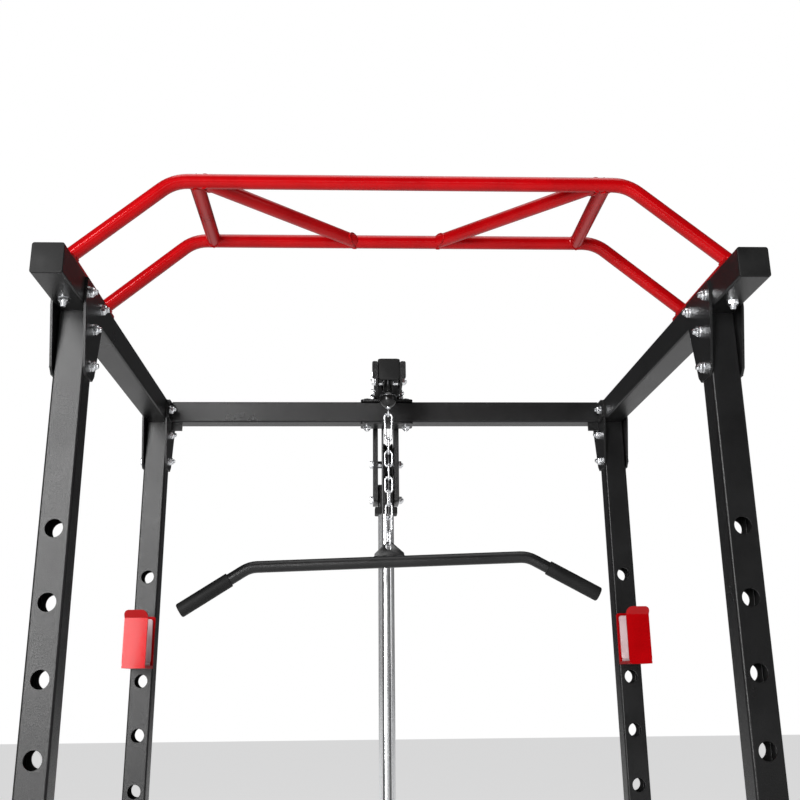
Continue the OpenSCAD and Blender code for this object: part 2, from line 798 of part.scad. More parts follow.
module lat_bar() {
    translate([lat_x, lat_y, hole_z]) rotate([0, -bar_tilt, 0]) translate([0, 0, -bar_drop]) {
        color(black) {
            difference() {
                translate([0, 3, 0]) rotate([90, 0, 0]) linear_extrude(height = 6)
                    polygon([[-32, 10], [-32, 18], [-4, 43.5], [4, 43.5], [32, 18], [32, 10]]);
                translate([0, 5, bar_drop]) rotate([90, 0, 0]) cylinder(r = tab_hole_r, h = 10);
                translate([-40, 0, 0]) along_x() cylinder(r = bar_r, h = 80);
            }
            translate([lat_t - lat_bend_x, 0, 0]) along_x()
                cylinder(r = bar_r, h = 2 * (lat_bend_x - lat_t));
            both() {
                arc_xz(lat_bend_x - lat_t, 0, -lat_bend_r, lat_bend_r, 90 - lat_drop, lat_drop, bar_r);
                translate([lat_bend_x, 0, 0]) rotate([0, 90 + lat_drop, 0])
                    translate([0, 0, lat_t]) cylinder(r = bar_r, h = lat_end - lat_t);
            }
        }
    }
}

module lat_bar_grips() {
    color(rubber) translate([lat_x, lat_y, hole_z]) rotate([0, -bar_tilt, 0]) translate([0, 0, -bar_drop])
        both() translate([lat_bend_x, 0, 0]) rotate([0, 90 + lat_drop, 0]) {
            translate([0, 0, grip_start]) difference() {
                cylinder(r = grip_r, h = lat_end - grip_start);
                translate([0, 0, -1]) cylinder(r = bar_r + 0.05, h = lat_end);
            }
            translate([0, 0, lat_end]) cylinder(r = grip_r, h = 4);
        }
}

// ---- J-hooks and safety bars ----

module j_hook(s) {
    lip_y = hook_y - hook_d - 10;
    color(red) translate([s * half_x, 0, hook_z]) {
        difference() {
            union() {
                translate([0, hook_y, -31]) rotate([90, 0, 0]) linear_extrude(height = 5)
                    rsq(hook_w, 111, 5);
                block(-hook_w / 2, hook_w / 2, lip_y + 1, hook_y - 1, -86.5, -80.5);
                intersection() {
                    translate([0, lip_y + 30, -27]) rotate([90, 0, 0]) linear_extrude(height = 60)
                        rsq(hook_w, 120, 11);
                    translate([-40, 0, 0]) side_on(80) polygon([
                        [lip_y, -87], [lip_y, 17], [lip_y - 16, 33], [lip_y - 10, 33],
                        [lip_y + 5, 19], [lip_y + 5, -87]]);
                }
            }
            translate([0, hook_y - 10, 0]) along_y() cylinder(r = pin_r - 1, h = 20);
        }
        translate([0, hook_y, 0]) along_y() cylinder(r = pin_r, h = tube + 12);
        translate([0, hook_y - 5, 0]) along_y() cylinder(r = pin_r - 1.1, h = 5);
    }
}

module j_hook_liner(s) {
    lip_y = hook_y - hook_d - 10;
    color(nylon) translate([s * half_x, 0, hook_z]) {
        translate([0, hook_y - 5.1, -28]) rotate([90, 0, 0]) linear_extrude(height = 6) rsq(40, 94, 5);
        block(-20, 20, lip_y + 11.2, hook_y - 11.3, -80.3, -74.3);
        translate([0, lip_y + 11.1, -36]) rotate([90, 0, 0]) linear_extrude(height = 6) rsq(40, 80, 5);
    }
}

module left_j_hook() { j_hook(-1); }
module right_j_hook() { j_hook(1); }
module left_j_hook_liner() { j_hook_liner(-1); }
module right_j_hook_liner() { j_hook_liner(1); }

module safety_bar(s) {
    y0 = fy - tube / 2;
    translate([s * half_x, 0, hole_height(safety_hole)]) {
        color(chrome) {
            translate([0, y0 - 50, 0]) along_y() cylinder(r = pin_r, h = bay + 2 * tube + 50 + 30);
            translate([0, y0 - 6.2, 0]) along_y() difference() {
                cylinder(r = 22, h = 6);
                translate([0, 0, -1]) cylinder(r = pin_r, h = 8);
            }
        }
        color(rubber) translate([0, y0 - 60, 0]) along_y() difference() {
            cylinder(r = 17, h = 50);
            translate([0, 0, 10]) cylinder(r = pin_r + 0.05, h = 50);
        }
    }
}

module left_safety_bar() { safety_bar(-1); }
module right_safety_bar() { safety_bar(1); }

upright_front_left();
upright_front_right();
upright_rear_left();
upright_rear_right();
top_rail_left();
top_rail_right();
rear_top_crossmember();
top_gusset_plates();
base_rail_left();
base_rail_right();
rear_base_crossmember();
base_gusset_plates();
gusset_bolts_and_nuts();
tube_end_caps();
floor_pads();
pull_up_front_bar();
pull_up_rear_bar();
pull_up_neutral_grips();
pull_up_slanted_grips();
pull_up_end_plates();
pull_up_bolts_and_nuts();
lat_beam();
beam_clamp_plates();
clamp_bolts_and_nuts();
pulley_cheeks();
hanger_bracket();
lat_frame_bolts_and_nuts();
axle_spacers();
front_pulley();
rear_pulley();
return_pulley();
low_pulley();
low_pulley_bracket();
low_ball_stop();
guide_post();
guide_block();
guide_collar();
guide_base_plate();
rubber_bumper();
lat_foot_beam();
rear_t_foot();
carriage_sleeve();
carriage_bushings();
plate_horns();
horn_end_caps();
cable_studs();
cables();
lat_cable_drop();
low_cable_rise();
ball_stop();
carabiner();
hanging_chain();
lat_bar();
lat_bar_grips();
left_j_hook();
right_j_hook();
left_j_hook_liner();
right_j_hook_liner();
left_safety_bar();
right_safety_bar();
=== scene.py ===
import json
import math
import bpy
import bmesh
from mathutils import Matrix, Vector

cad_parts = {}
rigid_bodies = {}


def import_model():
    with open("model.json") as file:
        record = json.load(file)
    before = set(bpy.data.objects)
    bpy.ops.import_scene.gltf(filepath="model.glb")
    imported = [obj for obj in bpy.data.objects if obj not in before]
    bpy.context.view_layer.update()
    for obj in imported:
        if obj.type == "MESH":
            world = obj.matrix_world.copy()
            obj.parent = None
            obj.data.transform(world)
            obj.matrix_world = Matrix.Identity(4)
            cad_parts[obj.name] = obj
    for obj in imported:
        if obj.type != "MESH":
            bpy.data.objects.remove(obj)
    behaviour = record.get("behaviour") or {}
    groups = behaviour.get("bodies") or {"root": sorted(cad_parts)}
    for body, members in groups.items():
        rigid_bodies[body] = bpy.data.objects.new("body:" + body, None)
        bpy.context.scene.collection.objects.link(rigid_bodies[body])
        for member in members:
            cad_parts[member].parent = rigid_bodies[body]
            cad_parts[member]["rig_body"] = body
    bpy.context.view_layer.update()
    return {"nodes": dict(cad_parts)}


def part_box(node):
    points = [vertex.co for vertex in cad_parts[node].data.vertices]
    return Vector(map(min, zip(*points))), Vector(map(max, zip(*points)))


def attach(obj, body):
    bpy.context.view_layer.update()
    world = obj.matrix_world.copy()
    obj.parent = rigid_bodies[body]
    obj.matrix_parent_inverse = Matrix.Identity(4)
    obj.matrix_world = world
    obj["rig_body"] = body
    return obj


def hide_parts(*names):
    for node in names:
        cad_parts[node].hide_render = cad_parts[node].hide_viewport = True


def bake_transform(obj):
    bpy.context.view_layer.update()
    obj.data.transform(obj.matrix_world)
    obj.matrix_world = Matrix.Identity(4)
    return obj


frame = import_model()
print("frame loaded")


# materials

def newMaterial(name, metallic=0.0, specular=0.5, coat=0.0, coatRoughness=0.1):
    mat = bpy.data.materials.new(name)
    mat.use_nodes = True
    shader = mat.node_tree.nodes["Principled BSDF"]
    shader.inputs["Metallic"].default_value = metallic
    shader.inputs["Specular IOR Level"].default_value = specular
    shader.inputs["Coat Weight"].default_value = coat
    shader.inputs["Coat Roughness"].default_value = coatRoughness
    return mat, mat.node_tree.nodes, mat.node_tree.links, shader


def noiseAt(nodes, links, scale, detail=3.0, stretch=(1, 1, 1)):
    where = nodes.new("ShaderNodeTexCoord")
    shift = nodes.new("ShaderNodeMapping")
    shift.inputs["Scale"].default_value = stretch
    noise = nodes.new("ShaderNodeTexNoise")
    noise.inputs["Scale"].default_value = scale
    noise.inputs["Detail"].default_value = detail
    links.new(where.outputs["Object"], shift.inputs["Vector"])
    links.new(shift.outputs["Vector"], noise.inputs["Vector"])
    return noise.outputs["Fac"]


def spread(nodes, links, source, low, high, fromLow=0.3, fromHigh=0.7):
    ramp = nodes.new("ShaderNodeMapRange")
    ramp.inputs["From Min"].default_value = fromLow
    ramp.inputs["From Max"].default_value = fromHigh
    ramp.inputs["To Min"].default_value = low
    ramp.inputs["To Max"].default_value = high
    links.new(source, ramp.inputs["Value"])
    return ramp.outputs["Result"]


def twoTone(nodes, links, source, first, second, fromLow=0.35, fromHigh=0.65):
    ramp = nodes.new("ShaderNodeValToRGB")
    ramp.color_ramp.elements[0].position = fromLow
    ramp.color_ramp.elements[0].color = (*first, 1)
    ramp.color_ramp.elements[1].position = fromHigh
    ramp.color_ramp.elements[1].color = (*second, 1)
    links.new(source, ramp.inputs["Fac"])
    return ramp.outputs["Color"]


def bumpFrom(nodes, links, shader, source, distance, strength=1.0, before=None):
    bump = nodes.new("ShaderNodeBump")
    bump.inputs["Distance"].default_value = distance
    bump.inputs["Strength"].default_value = strength
    links.new(source, bump.inputs["Height"])
    if before:
        links.new(before, bump.inputs["Normal"])
    links.new(bump.outputs["Normal"], shader.inputs["Normal"])
    return bump.outputs["Normal"]


powderCoat = dict(dark=(0.0025, 0.0025, 0.0026), light=(0.0050, 0.0050, 0.0052), rough=(0.27, 0.34),
                  grainPerMetre=1300, grainDepth=0.00035, peelPerMetre=420, peelDepth=0.0004, cloudPerMetre=9)


def makePowderCoat():
    mat, nodes, links, shader = newMaterial("blackPowderCoat", specular=0.26)
    cloud = noiseAt(nodes, links, powderCoat["cloudPerMetre"], 5)
    grain = noiseAt(nodes, links, powderCoat["grainPerMetre"], 2)
    peel = noiseAt(nodes, links, powderCoat["peelPerMetre"], 2)
    links.new(twoTone(nodes, links, cloud, powderCoat["dark"], powderCoat["light"]),
              shader.inputs["Base Color"])
    links.new(spread(nodes, links, cloud, *powderCoat["rough"]), shader.inputs["Roughness"])
    first = bumpFrom(nodes, links, shader, grain, powderCoat["grainDepth"], 0.7)
    bumpFrom(nodes, links, shader, peel, powderCoat["peelDepth"], 0.45, before=first)
    return mat


glossRed = dict(deep=(0.225, 0.0004, 0.0012), bright=(0.28, 0.0006, 0.0016), sheen=(1.0, 0.03, 0.04, 1),
                peelPerMetre=380, peelDepth=0.0002, rough=(0.26, 0.34))


def makeGlossRed():
    mat, nodes, links, shader = newMaterial("redPowderCoat", specular=0.35, coat=0.16, coatRoughness=0.07)
    shader.inputs["Specular Tint"].default_value = glossRed["sheen"]
    cloud = noiseAt(nodes, links, 14, 4)
    peel = noiseAt(nodes, links, glossRed["peelPerMetre"], 2)
    links.new(twoTone(nodes, links, cloud, glossRed["deep"], glossRed["bright"]),
              shader.inputs["Base Color"])
    links.new(spread(nodes, links, cloud, *glossRed["rough"]), shader.inputs["Roughness"])
    bumpFrom(nodes, links, shader, peel, glossRed["peelDepth"], 0.3)
    return mat


zincPlate = dict(dark=(0.50, 0.51, 0.53), light=(0.74, 0.75, 0.76), rough=(0.16, 0.32),
                 grainPerMetre=1800, grainDepth=0.00008)


def makeZinc():
    mat, nodes, links, shader = newMaterial("brightZinc", metallic=1.0)
    cloud = noiseAt(nodes, links, 160, 4)
    fine = noiseAt(nodes, links, zincPlate["grainPerMetre"], 2)
    links.new(twoTone(nodes, links, cloud, zincPlate["dark"], zincPlate["light"]),
              shader.inputs["Base Color"])
    links.new(spread(nodes, links, cloud, *zincPlate["rough"]), shader.inputs["Roughness"])
    bumpFrom(nodes, links, shader, fine, zincPlate["grainDepth"], 0.4)
    return mat


chromePlate = dict(dark=(0.78, 0.79, 0.80), light=(0.88, 0.89, 0.90), rough=(0.16, 0.26),
                   grainDepth=0.00004)


def makeChrome():
    mat, nodes, links, shader = newMaterial("polishedChrome", metallic=0.8)
    smear = noiseAt(nodes, links, 30, 5, stretch=(1, 1, 0.15))
    links.new(twoTone(nodes, links, smear, chromePlate["dark"], chromePlate["light"]),
              shader.inputs["Base Color"])
    links.new(spread(nodes, links, smear, *chromePlate["rough"]), shader.inputs["Roughness"])
    bumpFrom(nodes, links, shader, smear, chromePlate["grainDepth"], 0.3)
    return mat


mouldedRubber = dict(dark=(0.003, 0.003, 0.003), light=(0.006, 0.006, 0.006), rough=(0.48, 0.64),
                     grainPerMetre=1500, grainDepth=0.0002)


def makeRubber():
    mat, nodes, links, shader = newMaterial("blackRubber", specular=0.16)
    cloud = noiseAt(nodes, links, 25, 4)
    fine = noiseAt(nodes, links, mouldedRubber["grainPerMetre"], 3)
    links.new(twoTone(nodes, links, cloud, mouldedRubber["dark"], mouldedRubber["light"]),
              shader.inputs["Base Color"])
    links.new(spread(nodes, links, cloud, *mouldedRubber["rough"]), shader.inputs["Roughness"])
    bumpFrom(nodes, links, shader, fine, mouldedRubber["grainDepth"], 0.5)
    return mat


glossNylon = dict(dark=(0.003, 0.003, 0.003), light=(0.006, 0.006, 0.006), rough=(0.14, 0.24),
                  grainPerMetre=700, grainDepth=0.00008)


def makeGlossNylon():
    mat, nodes, links, shader = newMaterial("glossNylon", specular=0.3)
    cloud = noiseAt(nodes, links, 40, 4)
    scuff = noiseAt(nodes, links, glossNylon["grainPerMetre"], 2)
    links.new(twoTone(nodes, links, cloud, glossNylon["dark"], glossNylon["light"]),
              shader.inputs["Base Color"])
    links.new(spread(nodes, links, cloud, *glossNylon["rough"]), shader.inputs["Roughness"])
    bumpFrom(nodes, links, shader, scuff, glossNylon["grainDepth"], 0.3)
    return mat


linerNylon = dict(dark=(0.36, 0.25, 0.26), light=(0.46, 0.34, 0.35), rough=(0.42, 0.55),
                  grainPerMetre=900, grainDepth=0.00012)


def makePaleNylon():
    mat, nodes, links, shader = newMaterial("paleNylon", specular=0.45)
    cloud = noiseAt(nodes, links, 35, 4)
    fine = noiseAt(nodes, links, linerNylon["grainPerMetre"], 3)
    links.new(twoTone(nodes, links, cloud, linerNylon["dark"], linerNylon["light"]),
              shader.inputs["Base Color"])
    links.new(spread(nodes, links, cloud, *linerNylon["rough"]), shader.inputs["Roughness"])
    bumpFrom(nodes, links, shader, fine, linerNylon["grainDepth"], 0.4)
    return mat


cableSkin = dict(dark=(0.012, 0.012, 0.013), light=(0.028, 0.028, 0.030), rough=(0.26, 0.38),
                 grainDepth=0.0001)


def makeCableCoat():
    mat, nodes, links, shader = newMaterial("cableCoat", specular=0.5)
    cloud = noiseAt(nodes, links, 60, 4)
    links.new(twoTone(nodes, links, cloud, cableSkin["dark"], cableSkin["light"]),
              shader.inputs["Base Color"])
    links.new(spread(nodes, links, cloud, *cableSkin["rough"]), shader.inputs["Roughness"])
    bumpFrom(nodes, links, shader, cloud, cableSkin["grainDepth"], 0.3)
    return mat


blackPaint = makePowderCoat()
redPaint = makeGlossRed()
zinc = makeZinc()
chrome = makeChrome()
rubber = makeRubber()
nylon = makeGlossNylon()
paleNylon = makePaleNylon()
cableCoat = makeCableCoat()
print("materials made")


# shared making

def softenEdges(bm, edges, width, segments):
    bmesh.ops.bevel(bm, geom=edges, offset=width, offset_type="OFFSET", segments=segments, profile=0.5,
                    affect="EDGES", clamp_overlap=True, material=-1)


def smoothPiece(name, bm, material, smoothBelow=32):
    mesh = bpy.data.meshes.new(name)
    bm.to_mesh(mesh)
    bm.free()
    mesh.materials.append(material)
    mesh.shade_smooth()
    mesh.set_sharp_from_angle(angle=math.radians(smoothBelow))
    piece = bpy.data.objects.new(name, mesh)
    bpy.context.scene.collection.objects.link(piece)
    return piece


def pieceFrom(name, bm, body, material, stands=(), normals=None):
    piece = smoothPiece(name, bm, material)
    if normals:
        piece.data.normals_split_custom_set(normals)
    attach(piece, body)
    if stands:
        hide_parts(*stands)
    return piece


# wide faces keep their own normal, so only the small rounded edges shade round
def flatFaceNormals(bm, smoothBelow):
    limit = math.cos(math.radians(smoothBelow))
    bm.normal_update()
    normals = []
    for face in bm.faces:
        for loop in face.loops:
            near = [f for f in loop.vert.link_faces if f.normal.dot(face.normal) > limit]
            total = sum((f.normal * f.calc_area() for f in near), Vector())
            normals.append(total.normalized() if total.length > 0 else face.normal.copy())
    return normals


def bodyOf(nodeName):
    return frame["nodes"][nodeName]["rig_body"]


def roundedCopy(name, nodeName, material, edge=0.0006, segments=2, sharpAbove=28):
    bm = bmesh.new()
    bm.from_mesh(frame["nodes"][nodeName].data)
    bmesh.ops.remove_doubles(bm, verts=bm.verts, dist=0.000002)
    bmesh.ops.dissolve_limit(bm, angle_limit=math.radians(0.6), verts=bm.verts, edges=bm.edges)
    sharp = [e for e in bm.edges if e.is_manifold and e.calc_face_angle() > math.radians(sharpAbove)]
    softenEdges(bm, sharp, edge, segments)
    normals = flatFaceNormals(bm, sharpAbove)
    return pieceFrom(name, bm, bodyOf(nodeName), material, [nodeName], normals=normals)


def middle(nodeName):
    low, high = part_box(nodeName)
    return (low + high) / 2


def facing(at, along):
    return Matrix.Translation(at) @ Vector(along).to_track_quat("Z", "Y").to_matrix().to_4x4()


def lathe(bm, outline, place, steps=32):
    verts = [bm.verts.new((r, 0, z)) for r, z in outline]
    edges = [bm.edges.new(pair) for pair in zip(verts, verts[1:])]
    bmesh.ops.spin(bm, geom=verts + edges, cent=(0, 0, 0), axis=(0, 0, 1), dvec=(0, 0, 0), angle=math.tau,
                   steps=steps, use_merge=True, use_duplicate=False)
    made = reachable(verts)
    bmesh.ops.remove_doubles(bm, verts=made, dist=0.000001)
    made = reachable([v for v in made if v.is_valid])
    bmesh.ops.recalc_face_normals(bm, faces=list({f for v in made for f in v.link_faces}))
    bmesh.ops.transform(bm, matrix=place, verts=made)
    return made


def reachable(start):
    found, waiting = set(start), list(start)
    while waiting:
        for edge in waiting.pop().link_edges:
            for vert in edge.verts:
                if vert not in found:
                    found.add(vert)
                    waiting.append(vert)
    return list(found)


def bentTube(bm, at, along, radius, moves, sides=24, closed=False):
    at, along = Vector(at), Vector(along).normalized()
    ring = bmesh.ops.create_circle(bm, cap_ends=False, segments=sides, radius=radius,
                                   matrix=facing(at, along))["verts"]
    edges = list({e for v in ring for e in v.link_edges})
    firstEdges = list(edges)
    for move in moves:
        if move[0] == "go":
            made = bmesh.ops.extrude_edge_only(bm, edges=edges)["geom"]
            verts = [g for g in made if isinstance(g, bmesh.types.BMVert)]
            fresh = set(verts)
            edges = [g for g in made if isinstance(g, bmesh.types.BMEdge)
                     and g.verts[0] in fresh and g.verts[1] in fresh]
            bmesh.ops.translate(bm, verts=verts, vec=along * move[1])
            at = at + along * move[1]
        else:
            angle, bend, towards = move[1], move[2], Vector(move[3]).normalized()
            axis = along.cross(towards)
            centre = at + towards * bend
            made = bmesh.ops.spin(bm, geom=edges, cent=centre, axis=axis, dvec=(0, 0, 0), angle=angle,
                                  steps=max(3, round(math.degrees(angle) / 7)), use_merge=False,
                                  use_duplicate=False)["geom_last"]
            edges = [g for g in made if isinstance(g, bmesh.types.BMEdge)]
            turn = Matrix.Rotation(angle, 3, axis)
            at = centre + turn @ (at - centre)
            along = turn @ along
    made = reachable(ring)
    if closed:
        bmesh.ops.remove_doubles(bm, verts=made, dist=0.00001)
        made = reachable([v for v in made if v.is_valid])
    else:
        bmesh.ops.contextual_create(bm, geom=firstEdges)
        bmesh.ops.contextual_create(bm, geom=edges)
    bmesh.ops.recalc_face_normals(bm, faces=list({f for v in made for f in v.link_faces}))
    return made


def hexPrism(bm, place, across, height, chamfer=0.0011, bothEnds=False):
    before = set(bm.verts)
    made = bmesh.ops.create_circle(bm, cap_ends=True, segments=6,
                                   radius=across / 2 / math.cos(math.radians(30)))["verts"]
    base = made[0].link_faces[0]
    grown = bmesh.ops.extrude_face_region(bm, geom=[base])["geom"]
    top = [g for g in grown if isinstance(g, bmesh.types.BMVert)]
    bmesh.ops.translate(bm, verts=top, vec=(0, 0, height))
    ends = [f for f in top[0].link_faces if all(v in top for v in f.verts)]
    if bothEnds:
        ends += [f for f in made[0].link_faces if all(v in made for v in f.verts)]
    for end in ends:
        softenEdges(bm, list(end.edges), chamfer, 2)
    every = [v for v in bm.verts if v not in before]
    bmesh.ops.recalc_face_normals(bm, faces=list({f for v in every for f in v.link_faces}))
    bmesh.ops.transform(bm, matrix=place, verts=every)


def thread(bm, place, radius, length, pitch=0.0015):
    turns = max(1, int(length / pitch))
    verts = [bm.verts.new((radius - 0.0007, 0, 0)), bm.verts.new((radius, 0, pitch / 2)),
             bm.verts.new((radius - 0.0007, 0, pitch))]
    edges = [bm.edges.new(pair) for pair in zip(verts, verts[1:])]
    bmesh.ops.spin(bm, geom=verts + edges, cent=(0, 0, 0), axis=(0, 0, 1), dvec=(0, 0, pitch / 12),
                   angle=math.tau * turns, steps=12 * turns, use_merge=False, use_duplicate=False)
    made = reachable(verts)
    bmesh.ops.remove_doubles(bm, verts=made, dist=0.00002)
    made = reachable([v for v in made if v.is_valid])
    bmesh.ops.recalc_face_normals(bm, faces=list({f for v in made for f in v.link_faces}))
    bmesh.ops.transform(bm, matrix=place, verts=made)


# bolts: head at the start, nut at the end of the grip

boltSize = dict(shank=0.005, across=0.016, head=0.0064, nut=0.008, washer=0.0016, washerRadius=0.010)


def boltHead(bm, place):
    s = boltSize
    lathe(bm, [(s["shank"], 0), (s["washerRadius"], 0), (s["washerRadius"], -s["washer"]),
               (s["shank"], -s["washer"])],
          place, 24)
    hexPrism(bm, place @ Matrix.Translation((0, 0, -s["washer"])) @ Matrix.Rotation(math.pi, 4, "X"),
             s["across"], s["head"])


def boltEnd(bm, place, tail):
    s = boltSize
    lathe(bm, [(s["shank"], 0), (s["washerRadius"], 0), (s["washerRadius"], s["washer"]),
               (s["shank"], s["washer"])],
          place, 24)
    hexPrism(bm, place @ Matrix.Translation((0, 0, s["washer"])), s["across"], s["nut"] - 0.002)
    top = s["washer"] + s["nut"]
    lathe(bm, [(0.0072, top - 0.0022), (0.0070, top - 0.0004), (0.0062, top), (s["shank"], top - 0.0006)],
          place, 20)
    lathe(bm, [(s["shank"] - 0.0007, 0), (s["shank"] - 0.0007, tail - 0.0008),
               (s["shank"] - 0.0015, tail), (0, tail)], place, 14)
    thread(bm, place @ Matrix.Translation((0, 0, top - 0.002)), s["shank"], tail - top + 0.0006)


def fullBolt(bm, at, along, grip, tail):
    boltHead(bm, facing(at, along))
    boltEnd(bm, facing(Vector(at) + Vector(along) * grip, along), tail)


# places read from the frame

postX = middle("upright_front_right").x
frontY = middle("upright_front_left").y
rearY = middle("upright_rear_left").y
railLow, railTop = (corner.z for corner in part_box("top_rail_left"))
baseLow, baseTop = (corner.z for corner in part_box("base_rail_left"))
railFront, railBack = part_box("top_rail_left")[0].y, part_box("top_rail_left")[1].y
baseFront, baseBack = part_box("base_rail_left")[0].y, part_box("base_rail_left")[1].y
sides = (-1, 1)

# side frames and cross members

frameParts = dict(tubeEdge=0.0005, plateEdge=0.0011)
for nodeName in ("upright_front_left", "upright_front_right", "upright_rear_left", "upright_rear_right",
                 "top_rail_left",
                 "top_rail_right", "base_rail_left", "base_rail_right", "lat_beam", "rear_t_foot"):
    roundedCopy(nodeName + "Tube", nodeName, blackPaint, frameParts["tubeEdge"])
for nodeName in ("top_gusset_plates", "base_gusset_plates", "beam_clamp_plates", "pulley_cheeks",
                 "hanger_bracket",
                 "guide_base_plate", "lat_foot_beam", "low_pulley_bracket", "rear_top_crossmember",
                 "rear_base_crossmember"):
    roundedCopy(nodeName + "Steel", nodeName, blackPaint, frameParts["plateEdge"])
print("frame covered")

# end caps: a thin flat plate with a soft rim on the end of each tube

endCap = dict(side=0.050, corner=0.004, beamCorner=0.008, thick=0.003, rim=0.0011)


def capOn(bm, at, along, corner=endCap["corner"]):
    c = endCap
    before = set(bm.verts)
    made = bmesh.ops.create_cube(bm, size=1, matrix=Matrix.Diagonal((c["side"], c["side"], c["thick"],
            1)))["verts"]
    upright = [e for e in {e for v in made for e in v.link_edges}
               if abs((e.verts[0].co - e.verts[1].co).normalized().z) > 0.9]
    softenEdges(bm, upright, corner, 5)
    made = [v for v in bm.verts if v not in before]
    top = max({f for v in made for f in v.link_faces}, key=lambda f: f.calc_center_median().z)
    rimEdges = list(top.edges)
    softenEdges(bm, rimEdges, c["rim"], 3)
    made = [v for v in bm.verts if v not in before]
    bmesh.ops.transform(bm, matrix=facing(Vector(at) + Vector(along) * c["thick"] / 2, along), verts=made)


def makeEndCaps():
    bm = bmesh.new()
    railMid, baseMid = (railLow + railTop) / 2, (baseLow + baseTop) / 2
    beamLow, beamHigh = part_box("lat_beam")
    footLow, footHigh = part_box("rear_t_foot")
    for side in sides:
        capOn(bm, (side * postX, railFront, railMid), (0, -1, 0))
        capOn(bm, (side * postX, railBack, railMid), (0, 1, 0))
        capOn(bm, (side * postX, baseFront, baseMid), (0, -1, 0))
        capOn(bm, (side * postX, baseBack, baseMid), (0, 1, 0))
        capOn(bm, (side * footHigh.x, (footLow.y + footHigh.y) / 2, (footLow.z + footHigh.z) / 2),
              (side, 0, 0))
    beamMid = (beamLow.z + beamHigh.z) / 2
    capOn(bm, (0, beamLow.y, beamMid), (0, -1, 0), endCap["beamCorner"])
    capOn(bm, (0, beamHigh.y, beamMid), (0, 1, 0), endCap["beamCorner"])
    pieceFrom("endCaps", bm, "cage", rubber, ["tube_end_caps"])


makeEndCaps()
roundedCopy("floorPads", "floor_pads", rubber, 0.0009)

# gusset bolts: two in the post and one each side in the rail, at every corner

gussetBolt = dict(plate=0.004, tube=0.050, along=0.046, first=0.026, second=0.090, tail=0.014)


def makeGussetBolts():
    g = gussetBolt
    bm = bmesh.new()
    for side in sides:
        inward = Vector((-side, 0, 0))
        headX = side * (postX + g["tube"] / 2 + g["plate"])
        for y in (frontY, rearY):
            extra = g["plate"] if y == rearY else 0
            for level, up in ((railLow, 1), (baseTop, -1)):
                for drop in (g["first"], g["second"]):
                    fullBolt(bm, (headX, y, level - up * drop), inward, g["tube"] + 2 * g["plate"],
                             g["tail"])
                for reach in (-g["along"], g["along"]):
                    fullBolt(bm, (headX, y + reach, level + up * g["tube"] / 2), inward,
                             g["tube"] + 2 * g["plate"] + extra, g["tail"])
    pieceFrom("gussetBolts", bm, "cage", zinc, ["gusset_bolts_and_nuts"])


makeGussetBolts()
print("side frames done")

# pull-up bar

pullUp = dict(radius=0.0125, frontBack=0.087, gap=0.256, rise=0.146, bendX=0.379, footX=0.545, bend=0.065,
              footRise=0.005, neutralX=0.342, slantFront=0.330, slantRear=0.076, bead=0.0021,
              plateEdge=0.0012)


def saddleBead(bm, at, branch, main, branchRadius, mainRadius, bead, steps=40):
    branch, main = Vector(branch).normalized(), Vector(main).normalized()
    across = branch.cross(main).normalized()
    level = across.cross(branch).normalized()
    flat = abs(branch.dot(main))
    ring = bmesh.ops.create_circle(bm, cap_ends=False, segments=8, radius=bead,
                                   matrix=Matrix.Translation((branchRadius, 0, 0))
                                   @ Matrix.Rotation(math.pi / 2, 4, "X"))["verts"]
    edges = list({e for v in ring for e in v.link_edges})
    bmesh.ops.spin(bm, geom=edges, cent=(0, 0, 0), axis=(0, 0, 1), dvec=(0, 0, 0), angle=math.tau,
                   steps=steps,
                   use_merge=True, use_duplicate=False)
    made = reachable(ring)
    for vert in made:  # drop each slice of the ring onto the main tube, with a small ripple
        turn = math.atan2(vert.co.y, vert.co.x)
        side, fore = branchRadius * math.sin(turn), branchRadius * math.cos(turn)
        lift = math.sqrt(max(mainRadius ** 2 - side ** 2, 0))
        lift = (lift - fore * flat) / max(math.sqrt(1 - flat ** 2), 0.2)
        ripple = 1 + 0.16 * math.sin(turn * 26)
        vert.co.z = vert.co.z * ripple + lift
    bmesh.ops.recalc_face_normals(bm, faces=list({f for v in made for f in v.link_faces}))
    place = Matrix((level, across, branch)).transposed().to_4x4()
    bmesh.ops.transform(bm, matrix=Matrix.Translation(at) @ place, verts=made)
    return made


